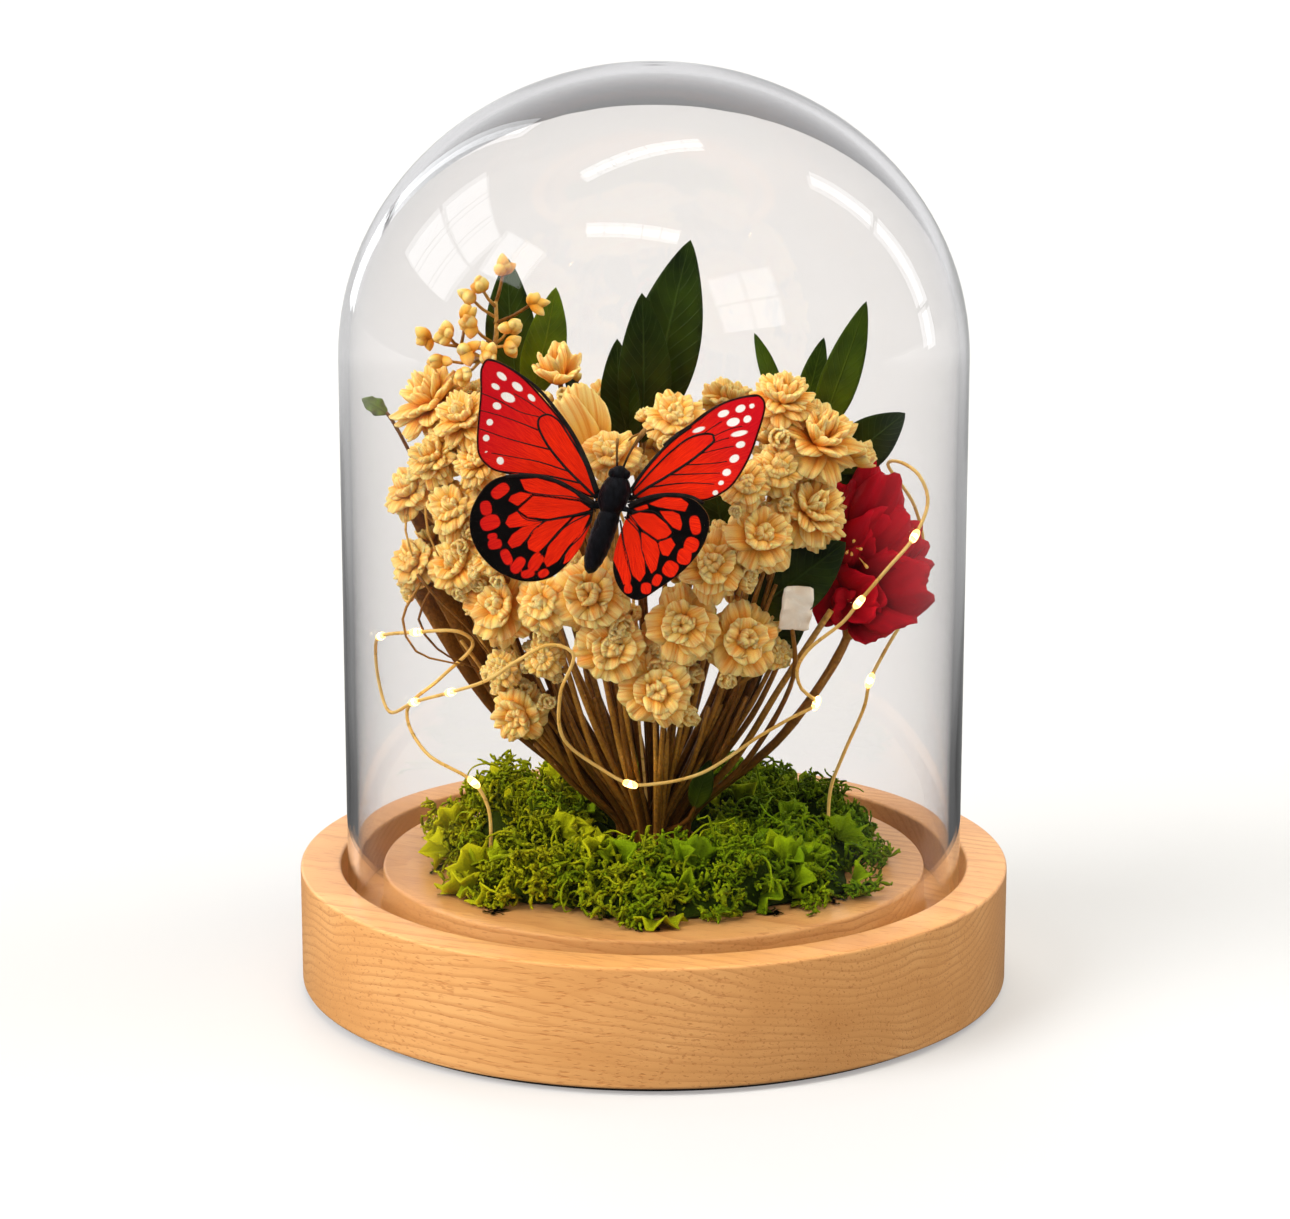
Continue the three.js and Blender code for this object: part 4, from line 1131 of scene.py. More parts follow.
# Petals: tip x, y, z and width
RED_PETALS = [
    [42.4, -5, 104, 7], [45.9, -8, 101.5, 10], [36.6, -5, 100, 9], [46.7, -6, 96.5, 9], [41, -9, 99, 9],
    [47.9, -11, 94, 12], [51, -8, 91.2, 10], [52.7, -4, 87.5, 10], [53, -7, 84, 9], [51.6, -13, 82, 15],
    [46.4, -12, 77, 9], [44.9, -9, 73.5, 9], [43.6, -7, 70.8, 6], [30.4, -8, 79, 11], [34.6, -12, 77.8, 9],
    [40.6, -15, 82, 12], [33, -7, 90, 9], [43, 3, 98, 12], [48, 3, 88, 13], [44, 3, 78, 11], [34, 2, 94, 11],
    [43, -12, 90, 9], [39, -12, 93, 8],
]


def red_petal_grid(start, tip, width, faces, rng):
    """A broad, folded and scalloped petal."""
    length, forward, side, normal = leaf_frame(start, tip, faces)
    v, u = sheet_shares(12, 13)
    phase = rng.uniform(0, 6.3, 3)
    half = 0.5 * width * (0.16 + 0.84 * np.sin(0.5 * np.pi * np.minimum(v * 1.25, 1)) ** 1.2)
    reach = v * (1 - 0.34 * np.abs(u) ** 2.8 + 0.05 * np.cos(2.4 * np.pi * u + phase[0]))
    broad_folds = 0.07 * width * v * np.cos(1.9 * np.pi * u + phase[1])
    folds = broad_folds + 0.03 * width * v**2 * np.cos(4.4 * np.pi * u + phase[2])
    level = 0.16 * length * np.sin(np.pi * v**0.8) + 0.14 * width * u**2 * v + folds - 0.12 * length * v**3
    return on_frame(start, forward, side, normal, length * reach, u * half, level), v, u


def red_finish():
    made, tree, shader = material("red_petal", Roughness=0.5, Specular_IOR_Level=0.12)
    along, across, tone = mark(tree, "along"), mark(tree, "across"), mark(tree, "tone")
    own_place = joined_vector(tree, times(tree, tone, 19.0), across, along)
    veins = streaks_of(tree, own_place, 1.0, 5.0, 0.3, 0.8)["Streaks"]
    # Darker towards each petal's foot, where the folds keep the light out: painted shade.
    reds_in_painted_shade = (0.0, (0.03, 0.0, 0.002)), (0.45, (0.22, 0.0004, 0.005)), (1.0, (0.62, 0.002, 0.016))
    ground = ramp(tree, along, *reds_in_painted_shade)
    set_colour(tree, shader, blend(tree, times(tree, veins, 0.35), ground, (0.2, 0.0, 0.006, 1)))
    relief(tree, shader, veins, 0.00015)
    return made


def red_flower():
    rng = np.random.default_rng(SEED + 40)
    stem, petals, stamens = Heap(), Heap(), Heap()
    add_stem(stem, [*stem_route("red_flower", CALYX), RED_HEART - [0, 0, 4]], 0.9, 0.9, rng)
    line = CALYX + np.linspace(-3.0, 2.4, 9)[:, None] * np.array([0.28, 0, 0.96])
    stem.add_tube(line, [0.9, 1.2, 1.5, 1.7, 1.8, 1.8, 1.7, 1.4, 0.9], 14, tone=0.4, across=0)
    for x, y, z, width in RED_PETALS:
        tip = np.array([x, y, z], float)
        climb = np.clip((z - 72) / 26, 0.12, 1)
        start = CALYX + (RED_HEART - CALYX) * climb + (0.0, 0.12 * (y + 8), 0.0)
        faces_to = np.array([(x - 40) * 0.05, -1.0, 0.25]) if y < 0 else np.array([0.1, 1.0, 0.2])
        for share, side, nearer in ((1.0, 0.0, 0.0), (0.74, 1.0, 1.6)):
            sideways = side * rng.choice([-1, 1]) * 0.32 * width * unit(np.cross(tip - start, faces_to))
            inner_tip = start + (tip - start) * share + sideways + [0, nearer * np.sign(y), 0]
            grid, v, u = red_petal_grid(start, inner_tip, width * (1.0 if side == 0 else 0.8), faces_to, rng)
            body = 0.2 + 0.4 * (1 - u**2) * np.sin(np.pi * v**0.8)
            petals.add_sheet(grid, body, v, u, rng.random())
    for _ in range(5):
        tip = RED_HEART + rng.normal(0, 1, 3) * [1.2, 0.3, 1.8] + [0, -6.5, 0]
        line = smooth_line([RED_HEART, tip], 0.8)
        radii = np.where(np.linspace(0, 1, len(line)) > 0.8, 0.3, 0.12)
        stamens.add_tube(line, radii, 6, along=1.0, across=0, tone=0.9)
    stem.piece("red_flower_stem", stem_look, "dried_stem", "red_flower")
    stamens.piece("red_flower_stamens", petal_look, "red_petal", "red_flower")
    return petals.piece("red_flower_petals", red_finish(), "red_petal", "red_flower")


flower = red_flower()
print("red flower:", len(RED_PETALS), "petals,", len(flower.data.polygons), "faces")

# %% [markdown]
# One plain stem has lost its flower, a stiff wire holds the butterfly, and twine ties the bouquet just
# above its foot. All three are tubes. The tie is one line that winds four times round the stems, with a
# small knot of three loops, so it reads as cord and not as a ring.

# %% Bare stem, butterfly's wire and tie
WIRE_RADIUS = 0.3
BARE_STEM_ROUTE = [[16.5, -5.5, 46.5], [24, -11, 61], [28.5, -13.5, 69], [33.5, -14, 77]]
BUTTERFLY_WIRE_ROUTE = [[-4.5, -9, 88], [-6, -18, 96], [-7.2, -26, 100.6], [-7.4, -29.5, 102.6]]
TIE_RADIUS = node_box("binding_cord")[1][0] - 0.6
TIE_TURNS = 4
TIE_BOTTOM = 25.7
TIE_TOP = 28.0
TWINE_RADIUS = 0.42


def copper_finish():
    # The warm emission is a painted glow: the light of the little lamps, painted onto all of the copper
    # wire.
    made, tree, shader = material("copper_wire", Metallic=0.4, Roughness=0.3, Emission_Strength=0.15)
    plug(tree, shader, {"Emission Color": (1.0, 0.55, 0.15, 1)})
    tarnish = noise(tree, object_place(tree), 220.0, 3.0)
    set_colour(tree, shader, ramp(tree, tarnish, (0.35, (0.85, 0.5, 0.11)), (0.7, (1.0, 0.74, 0.26))))
    plug(tree, shader, {"Roughness": span(tree, tarnish, target=(0.18, 0.4))})
    return made


def twine_finish():
    made, tree, shader = material("dark_twine", Roughness=0.85)
    feed = {"Vector": joined_vector(tree, mark(tree, "along")), "Scale": 60.0, "Distortion": 1.0}
    twist = node(tree, "TexWave", feed).outputs["Fac"]
    set_colour(tree, shader, ramp(tree, twist, (0.1, (0.05, 0.02, 0.006)), (0.8, (0.2, 0.09, 0.03))))
    relief(tree, shader, twist, 0.0002)
    return made


def bare_stem():
    stem = Heap()
    seat = foot_of("bare_stem")
    route = [[*seat, FOOT_Z], [*seat, WAIST_Z], *BARE_STEM_ROUTE]
    add_stem(stem, route, 0.8, 0.6, np.random.default_rng(SEED + 50))
    return stem.piece("bare_stem_wood", stem_look, "dried_stem", "bare_stem")


def butterfly_wire():
    wire = Heap()
    crook, *onward = BUTTERFLY_WIRE_ROUTE
    wire.add_tube(smooth_line([*stem_route("butterfly_wire", crook), *onward], 2.0), WIRE_RADIUS)
    return wire.piece("butterfly_wire_drawn", copper, "copper_wire", "butterfly_wire")


def binding_tie():
    tie = Heap()
    turns = np.linspace(0, 2 * np.pi * TIE_TURNS, 150)
    rise = np.linspace(TIE_BOTTOM, TIE_TOP, 150) + 0.1 * np.sin(5 * turns)
    tie.add_tube(np.stack([TIE_RADIUS * np.cos(turns), TIE_RADIUS * np.sin(turns), rise], -1), TWINE_RADIUS)
    knot_middle = np.array([-0.5 * TIE_RADIUS, -0.87 * TIE_RADIUS, 27.3])
    around = np.linspace(0, 2 * np.pi, 26)
    for k in range(3):
        x = 0.9 * np.cos(around + k)
        y = -0.35 + 0.35 * np.sin(2 * around)
        z = 1.7 * np.sin(around + 2 * k)
        tie.add_tube(knot_middle + np.stack([x, y, z], -1), 0.32, 7)
    return tie.piece("binding_twine", twine_finish(), "binding_twine", "binding_cord")


copper = copper_finish()
bare_stem()
butterfly_wire()
binding_tie()
print("tie:", TIE_TURNS, "turns of", round(float(TIE_RADIUS), 2), "mm radius")

# %% [markdown]
# Moss is the hardest texture here, because it is all edges. A bumpy surface never looks like it. So a dark
# cushion fills each tuft to about half its height, and hundreds of fronds grow from it. Its near-black
# colour is painted shade, the shade deep inside the tuft.
# A frond is a curling stalk with side branches, each a flattened tube that forks at its end. Fifteen
# different fronds and two ruffled sheets are grown with a seeded random source, then turned, sized and
# set all over the cushion. The solids reach about as high as the tips do.

# %% Moss fronds
# Each tuft: its start and end round the axis in degrees, its reach and its rise in mm
MOSS_TUFTS = {
    "moss_right_back": (-3, 62, 46, 13),
    "moss_back": (62, 135, 44, 15),
    "moss_left_back": (135, 204, 45, 16),
    "moss_front_left": (204, 275, 46, 12),
    "moss_front_right": (275, 357, 48, 11),
}
MOSS_HOLE_RADIUS = 10.9
FROND_KINDS = 15
RUFFLE_KINDS = 2


def moss_height(radius, angle, reach, rise):
    """Height of the solid's top above the plinth, by the rule that the solid was made with."""
    outward = (radius - MOSS_HOLE_RADIUS) / (reach - MOSS_HOLE_RADIUS)
    lump = 0.16 * np.sin(radius * 0.55 + angle * 5) + 0.12 * np.sin(angle * 13 + radius * 0.3)
    return 2 + rise * np.sin(np.pi * (0.08 + 0.86 * np.clip(outward, 0, 1))) * (0.9 + lump)


def grow(start, heading, bend_axis, steps, step, curl, rng):
    """A line that curls as it grows."""
    line, place = [np.array(start, float)], np.array(start, float)
    heading = unit(np.array(heading, float))
    for _ in range(steps):
        heading = unit(heading + np.cross(bend_axis, heading) * curl + rng.normal(0, 0.16, 3))
        place = place + heading * step
        line.append(place)
    return np.array(line)


def frond(rng):
    """One frond, growing up Z from the origin: a curled stalk with lobed side branches, like an antler."""
    heap = Heap()
    bend = unit(rng.normal(0, 1, 3) * [1, 1, 0.3])
    stalk = grow([0, 0, 0], [0, 0, 1], bend, 6, 1.1, rng.uniform(0.15, 0.5), rng)
    points, faces, along = tube(stalk, np.linspace(0.36, 0.3, len(stalk)), 3, 0.6)
    heap.add(points, faces, along=0.7 * along)
    for i in (2, 3, 4, 5, 6):
        heading = stalk[i] - stalk[i - 1]
        for way in (-1, 1):
            sideways = np.cross(heading, bend) * way
            branch_bend = unit(rng.normal(0, 1, 3))
            outward = heading * 0.5 + sideways * 1.1
            branch = grow(stalk[i], outward, branch_bend, 3, 0.72, rng.uniform(0.2, 0.9), rng)
            points, faces, along = tube(branch, [0.26, 0.42, 0.52, 0.26], 3, 0.5)
            heap.add(points, faces, along=0.35 + 0.5 * along)
            for twig_from in (2, 3):
                onward = branch[twig_from] - branch[twig_from - 1] + rng.normal(0, 0.5, 3)
                twig = grow(branch[twig_from], onward, branch_bend, 1, 0.75, 0.5, rng)
                points, faces, along = tube(twig, [0.32, 0.2], 3, 0.7)
                heap.add(points, faces, along=0.7 + 0.3 * along)
    return np.vstack(heap.points), heap.faces, np.concatenate(heap.marks["along"])


def ruffle(rng):
    """A crisp little sheet with a strongly waved edge, like a leaf of curly parsley."""
    rows, columns = 5, 15
    v = np.linspace(0, 1, rows)[:, None]
    turn = np.linspace(-1, 1, columns)[None, :] * rng.uniform(0.9, 1.5)
    waves, phase = rng.uniform(5, 8), rng.uniform(0, 6.3, 2)
    scallops = 1 + 0.14 * np.cos(waves * 2 * turn + phase[0]) + 0.06 * rng.standard_normal((1, columns))
    reach = 5.2 * v * scallops
    lift = 1.5 * v**2 * np.sin(waves * turn + phase[1]) + 0.5 * v * rng.standard_normal((1, 1))
    grid = np.stack([reach * np.sin(turn), lift, 0.4 + reach * np.cos(turn)], -1)
    points, faces = thick_sheet(grid, 0.35)
    return points, faces, twice(0.25 + 0.75 * v, grid)


frond_rng = np.random.default_rng(SEED + 60)
FRONDS = [frond(frond_rng) for _ in range(FROND_KINDS)] + [ruffle(frond_rng) for _ in range(RUFFLE_KINDS)]
frond_faces = np.mean([sum(map(len, faces)) for _, faces, _ in FRONDS])
print("fronds:", len(FRONDS), "kinds of about", int(frond_faces), "faces")


# %% [markdown]
# Now the planting. Fronds lean outward near the rim of a tuft and stand up in its middle, and a few thin
# curls rise above them. The colour runs from dark at the root, partly the moss's own colour and partly
# painted shade deep in the tuft, to bright at the tip, and it turns yellower towards the left as painted
# light from that side.

# %% Moss cushions and planting
FRONDS_PER_TUFT = 153
TENDRILS_PER_TUFT = 16
CUSHION_SHARE = 0.5
FROND_HEIGHT = 6.2
MOSS_FOOT = BASE_TOP + 0.3
MOSS_GROUND = BASE_TOP + 0.35


def moss_finish():
    made, tree, shader = material("curly_moss", Roughness=0.7, Specular_IOR_Level=0.15)
    along, tone = mark(tree, "along"), mark(tree, "tone")
    place = object_place(tree)
    # Yellower towards the left: painted light from that side.
    sunny = span(tree, split_vector(tree, place)["X"], (0.045, -0.04))
    mixed = math_node(tree, "ADD", times(tree, sunny, 0.6), times(tree, tone, 0.4))
    greens = (0.0, (0.1, 0.23, 0.003)), (0.45, (0.26, 0.38, 0.003)), (1.0, (0.64, 0.58, 0.006))
    tips = ramp(tree, mixed, *greens)
    # Near-black at the root: partly the moss's own colour and partly painted shade deep in the tuft.
    roots_and_painted_shade = ramp(tree, mixed, (0.0, (0.002, 0.009, 0.001)), (1.0, (0.02, 0.04, 0.001)))
    set_colour(tree, shader, blend(tree, along, roots_and_painted_shade, tips))
    grains = noise(tree, place, 2600.0)
    relief(tree, shader, grains, 0.0003)
    return made


moss_look = moss_finish()


def edge_wave(angle):
    """How far a tuft's rim swings in and out round the axis, in mm."""
    return 1.6 * (np.sin(angle * 7) + 0.6 * np.sin(angle * 11 + 2))


def radial_at(angle):
    return np.array([math.cos(angle), math.sin(angle), 0])


def moss_cushion(name, start, end, reach, rise):
    """The filling of one tuft: flat below, humped above and thin at its rim."""
    share_out = np.linspace(0, 1, 16)[:, None]
    share_round = np.linspace(0, 1, 22)[None, :]
    angle = np.radians(start + (end - start) * share_round)
    edge = reach - 7.5 + edge_wave(angle)
    radius = MOSS_HOLE_RADIUS + 0.6 + (edge - MOSS_HOLE_RADIUS) * share_out
    turned = np.radians(start + 1 + (end - start - 2) * share_round)
    tall = CUSHION_SHARE * moss_height(radius, angle, reach, rise)
    tall = tall * np.sin(np.pi * (0.1 + 0.8 * share_round)) ** 0.3 * np.clip((1 - share_out) * 6, 0.02, 1)
    height = BASE_TOP + 0.4 + np.maximum(tall, 0.4)
    top = np.stack([radius * np.cos(turned), radius * np.sin(turned), height], -1)[:, ::-1]
    bottom = top * [1, 1, 0] + [0, 0, MOSS_GROUND]
    faces = thick_sheet(top, 1.0)[1]
    heap = Heap()
    # The cushion takes the near-black root colour: painted shade deep inside the tuft.
    heap.add(np.vstack([top.reshape(-1, 3), bottom.reshape(-1, 3)]), faces, along=0.05, tone=0.3)
    return heap.piece(name + "_cushion", moss_look, "moss", name)


def plant_frond(heap, start, end, reach, rise, rng):
    """Sets one frond on the cushion: upright in the middle, leaning out near the rim."""
    outward = rng.random() ** 0.7
    angle = math.radians(rng.uniform(start + 1.5, end - 1.5))
    radius = MOSS_HOLE_RADIUS + 2.2 + (reach + edge_wave(angle) - MOSS_HOLE_RADIUS - 6.5) * outward
    top = moss_height(radius, angle, reach, rise)
    points, faces, along = FRONDS[rng.integers(len(FRONDS))]
    radial = radial_at(angle)
    upward = np.array([0, 0, 0.8 - 0.7 * outward**3])
    lean = unit(upward + radial * (outward - 0.3) * 1.4 + rng.normal(0, 0.35, 3))
    lean = unit(np.maximum(lean, [-1, -1, 0.15]))
    size = rng.uniform(0.78, 1.22)
    first = turned_to(rng.uniform(0, 2 * np.pi), *across_axes(lean))
    rooted = max(top * 0.98 - FROND_HEIGHT * size, 0.2) * rng.uniform(0.6, 1)
    placed = points @ np.stack([first, np.cross(lean, first), lean]) * size
    placed = placed + (radial * radius + [0, 0, MOSS_FOOT + rooted])
    placed[:, 2] = np.maximum(placed[:, 2], MOSS_GROUND)
    placed[:, 2] -= 0.8 * np.maximum(placed[:, 2] - (MOSS_FOOT + top + 1.2), 0)
    heap.add(placed, faces, along=along, tone=rng.random())


def plant_tendril(heap, start, end, reach, rise, rng):
    """A thin curl that rises above the fronds."""
    angle = math.radians(rng.uniform(start + 3, end - 3))
    radial = radial_at(angle)
    radius = MOSS_HOLE_RADIUS + 4 + (reach - MOSS_HOLE_RADIUS - 12) * rng.random()
    top = moss_height(radius, angle, reach, rise)
    root = radial * radius + [0, 0, BASE_TOP + 0.75 * top]
    heading = radial * rng.uniform(-0.2, 1) + rng.normal(0, 0.6, 3) * [1, 1, 0] + [0, 0, 0.8]
    bend = unit(np.cross([0, 0, 1], heading) + rng.normal(0, 0.3, 3))
    line = smooth_line(grow(root, heading, bend, 9, 1.3, rng.uniform(0.16, 0.42), rng), 0.5)
    line[:, 2] = np.clip(line[:, 2], BASE_TOP + 0.5, BASE_TOP + top + 2.5)
    points, faces, along = tube(line, np.linspace(0.24, 0.13, len(line)), 6)
    heap.add(points, faces, along=0.6 + 0.4 * along, tone=rng.random())


def moss_tuft(name, place, rng):
    moss_cushion(name, *place)
    planted = Heap()
    for _ in range(FRONDS_PER_TUFT):
        plant_frond(planted, *place, rng)
    for _ in range(TENDRILS_PER_TUFT):
        plant_tendril(planted, *place, rng)
    return planted.piece(name + "_fronds", moss_look, "moss", name)


moss_rng = np.random.default_rng(SEED + 61)
for tuft_name, tuft in MOSS_TUFTS.items():
    made = moss_tuft(tuft_name, tuft, moss_rng)
    print(tuft_name, "has", len(made.data.polygons), "faces")

# %% [markdown]
# The butterfly is pinned on a wire in front of the bouquet, with its wings spread flat towards the viewer.
# The wings keep the outline of their solids. Three kinds of mark are measured at each point of a wing: the
# distance to its edge, to the nearest pale spot, and to the nearest red cell. The finish then only has to
# say which colour each distance means, and the borders stay sharp at any size. The marks are drawn on a
# sketch whose unit is 0.037 mm, with the origin at the thorax.

# %% Wing outlines and marks
BUTTERFLY_PLACE = np.array([-7.7, -33, 102])
BUTTERFLY_LEAN = math.radians(13)
SKETCH_UNIT = 0.03735
SKETCH_ORIGIN = np.array([744, 784])
# Outlines: x, y, x, y in mm
WING_OUTLINES = {
    "forewing_left": [
        -2.6, 2.4, -3.9, 6.1, -6.9, 11.7, -12.9, 19.2, -16.6, 22.9, -20.3, 25.2, -22.6, 25.7, -23.7,
        24, -23.8, 19.6, -24.4, 10.6, -24, 8, -21.8, 5.7, -18.8, 4.8, -13.2, 3.7, -6.8, 1.8, -3.2,
        0.6,
    ],
    "hindwing_left": [
        -3.4, -0.4, -6.9, 1.8, -10.3, 3.5, -17, 4.8, -21.8, 3.5, -25, -1, -25.6, -4.6, -24.4, -8.8,
        -20.7, -12.9, -15.5, -14.8, -11, -14, -7.6, -11.1, -5, -7.3,
    ],
    "forewing_right": [
        3.6, 1.6, 4.5, 3.9, 9.9, 10.2, 13.3, 13.2, 17, 16.2, 20.7, 18.1, 24.5, 19.1, 26.6, 19.2,
        27.8, 17.7, 26.3, 11.3, 24.9, 7.6, 22.2, 3.1, 20.4, 1.5, 16.6, -0.1, 10.3, 0.6, 4.2, 0.4,
    ],
    "hindwing_right": [
        3.2, -1.2, 6.6, 0.5, 9.5, 0.9, 12.5, 0.8, 15.1, 0, 17.6, -3.2, 16.8, -7.7, 13.6, -12.2, 8.8,
        -15.9, 4.7, -18.2, 2.4, -17.2, 0.9, -15.2, 0.2, -12.6, 0.4, -9.6, 1.4, -6.2, 2.4, -3.6,
    ],
}
WING_ROOTS = {
    "forewing_left": (-2.4, 1),
    "hindwing_left": (-3, -1),
    "forewing_right": (3.2, 0.6),
    "hindwing_right": (2.6, -1.6),
}
# Pale spots and the red spots of the border: middle x, middle y, width, height, turn in degrees
PALE_SPOTS = {
    "forewing_left": [
        (210, 180, 56, 30, -40), (285, 230, 60, 34, -38), (180, 230, 44, 26, -30),
        (353, 283, 44, 26, -42), (240, 282, 72, 42, -25), (187, 323, 42, 34, -25),
        (153, 403, 32, 32, 0), (136, 480, 32, 32, 0), (136, 547, 14, 10, 0), (203, 590, 34, 38, 20),
    ],
    "forewing_right": [
        (1423, 325, 28, 22, 20), (1368, 337, 50, 34, 25), (1286, 360, 56, 32, 20),
        (1401, 388, 40, 34, 30), (1333, 402, 64, 40, 15), (1166, 438, 62, 22, 20),
        (1362, 458, 82, 26, 12), (1368, 512, 46, 32, 15), (1338, 580, 50, 36, 30),
        (1301, 647, 42, 34, 20), (1274, 698, 28, 22, 25), (1246, 746, 28, 24, 30),
    ],
}
BORDER_SPOTS = {
    "hindwing_left": [
        (205, 738, 100, 62, 38), (137, 822, 58, 76, 10), (157, 893, 100, 76, 20),
        (168, 960, 52, 36, 10), (180, 998, 72, 54, 10), (235, 1060, 52, 86, 25),
        (290, 1100, 56, 96, -35), (375, 1085, 62, 100, -30), (338, 1142, 72, 44, 15),
        (413, 1140, 60, 42, 30),
    ],
    "hindwing_right": [
        (1148, 905, 56, 100, 10), (1130, 1000, 74, 76, -20), (1095, 1058, 72, 84, -10),
        (1028, 1118, 76, 82, -30), (963, 1173, 46, 64, -25), (910, 1213, 54, 60, 0),
        (823, 1216, 44, 48, 0),
    ],
}
# Red cells: the corners of each as x, y, x, y
RED_CELLS = {
    "hindwing_left": [
        [300, 682, 380, 675, 470, 700, 560, 745, 595, 780, 480, 765, 360, 750, 322, 732],
        [302, 742, 356, 755, 288, 812, 244, 785, 258, 760],
        [365, 762, 480, 775, 590, 790, 645, 828, 560, 850, 430, 874, 335, 862, 290, 830],
        [285, 838, 330, 872, 410, 887, 350, 905, 250, 918, 230, 895, 246, 858],
        [404, 892, 340, 960, 300, 1005, 260, 1018, 240, 990, 262, 950, 312, 915],
        [548, 866, 480, 935, 418, 1008, 385, 1040, 340, 1020, 336, 985, 372, 930, 422, 887],
        [640, 852, 600, 938, 530, 1010, 482, 1080, 430, 1112, 415, 1080, 436, 1008, 504, 930, 564, 866],
        [645, 892, 604, 1000, 560, 1065, 508, 1098, 520, 1050, 560, 990, 612, 925],
    ],
    "hindwing_right": [
        [922, 800, 1000, 768, 1080, 773, 1116, 800, 1100, 838, 1040, 828, 965, 815],
        [850, 824, 914, 802, 922, 822, 872, 836],
        [975, 835, 1040, 838, 1072, 852, 1085, 900, 1076, 932, 1040, 915, 1000, 872],
        [828, 860, 880, 842, 950, 850, 1010, 900, 1036, 940, 1010, 965, 965, 975, 900, 930, 850, 888],
        [975, 985, 1030, 965, 1052, 1000, 1018, 1056, 990, 1050, 974, 1015],
        [886, 937, 930, 960, 964, 990, 976, 1040, 960, 1120, 936, 1142, 912, 1090, 890, 1010],
        [792, 882, 830, 872, 870, 920, 886, 1000, 902, 1080, 907, 1140, 880, 1182, 846, 1150, 812,
         1050],
        [782, 900, 735, 990, 745, 1060, 780, 1140, 800, 1192, 832, 1200, 838, 1150, 808, 1060, 793,
         980],
    ],
}
# Veins: lines from the root outward as x, y, x, y, each with its width at the start and the end in mm
WING_VEINS = {
    "forewing_left": [
        ([672, 745, 615, 585, 548, 452, 470, 340, 380, 235, 285, 165, 200, 115, 140, 100], 0.95, 0.3),
        ([665, 750, 610, 600, 535, 470, 478, 388, 430, 363, 392, 378, 385, 415, 410, 478, 450, 540, 520,
         625, 600, 705, 668, 772], 0.32, 0.5),
        ([425, 362, 340, 305, 266, 262], 0.26, 0.16),
        ([395, 376, 300, 352, 200, 300, 112, 262], 0.24, 0.12),
        ([386, 440, 300, 405, 200, 370, 105, 345], 0.3, 0.16),
        ([448, 535, 350, 512, 240, 482, 100, 434], 0.34, 0.18),
        ([530, 640, 390, 595, 260, 570, 160, 552], 0.34, 0.18),
        ([598, 700, 430, 662, 300, 650, 190, 640], 0.4, 0.24),
    ],
    "forewing_right": [
        ([828, 748, 880, 668, 962, 566, 1062, 466, 1160, 392, 1262, 322, 1360, 286, 1450, 276], 0.6,
         0.3),
        ([1000, 520, 1060, 468, 1130, 420], 0.9, 0.7),
        ([850, 735, 930, 645, 1030, 545, 1120, 478, 1190, 458, 1236, 463, 1242, 490, 1200, 532, 1110,
         602, 1000, 672, 900, 732, 834, 782], 0.34, 0.5),
        ([1190, 456, 1235, 425, 1278, 398], 0.2, 0.14),
        ([1238, 470, 1330, 431, 1378, 423], 0.22, 0.14),
        ([1230, 505, 1280, 487, 1312, 479], 0.24, 0.14),
        ([1170, 556, 1290, 528, 1336, 520], 0.28, 0.16),
        ([1100, 610, 1240, 602, 1304, 593], 0.3, 0.16),
        ([1020, 658, 1200, 652, 1270, 650], 0.32, 0.18),
        ([925, 718, 1100, 698, 1242, 704], 0.36, 0.2),
    ],
    "hindwing_left": [
        ([660, 800, 590, 755, 500, 700, 400, 668, 300, 662, 230, 668], 0.8, 0.5),
        ([660, 810, 560, 768, 440, 758, 335, 745], 0.3, 0.2),
        ([655, 835, 540, 860, 430, 882, 330, 878, 282, 832], 0.3, 0.2),
        ([420, 885, 362, 930, 320, 1000], 0.24, 0.2),
        ([640, 845, 520, 912, 430, 1000, 400, 1055], 0.3, 0.22),
        ([646, 875, 602, 950, 532, 1025, 490, 1095], 0.3, 0.22),
    ],
    "hindwing_right": [
        ([825, 815, 880, 785, 960, 762, 1050, 756, 1130, 768, 1190, 800], 0.8, 0.5),
        ([828, 850, 900, 935, 968, 982, 1040, 960], 0.3, 0.22),
        ([806, 862, 880, 950, 888, 1020, 915, 1110], 0.3, 0.2),
        ([785, 880, 800, 980, 825, 1080, 842, 1180], 0.3, 0.2),
        ([835, 840, 950, 838, 1010, 895, 1045, 945], 0.3, 0.2),
    ],
}


def on_wing(places):
    """Sketch places to the butterfly's own millimetres."""
    return (np.reshape(places, (-1, 2)) - SKETCH_ORIGIN) * [SKETCH_UNIT, -SKETCH_UNIT]


def closed(outline):
    return np.vstack([outline, outline[:1]])


def distance_to_line(points, line):
    """Shortest distance from each point to a chain of straight stretches."""
    best = np.full(len(points), 1e9)
    for a, b in zip(line, line[1:]):
        share = np.clip(((points - a) @ (b - a)) / ((b - a) @ (b - a)), 0, 1)
        best = np.minimum(best, np.linalg.norm(points - (a + share[:, None] * (b - a)), axis=1))
    return best


def inside(points, outline):
    """True for the points inside a closed outline."""
    x, y = points.T
    within = np.zeros(len(points), bool)
    for (ax, ay), (bx, by) in zip(outline, np.roll(outline, -1, axis=0)):
        crosses = (ay > y) != (by > y)
        within ^= crosses & (x < (bx - ax) * (y - ay) / (by - ay + 1e-12) + ax)
    return within


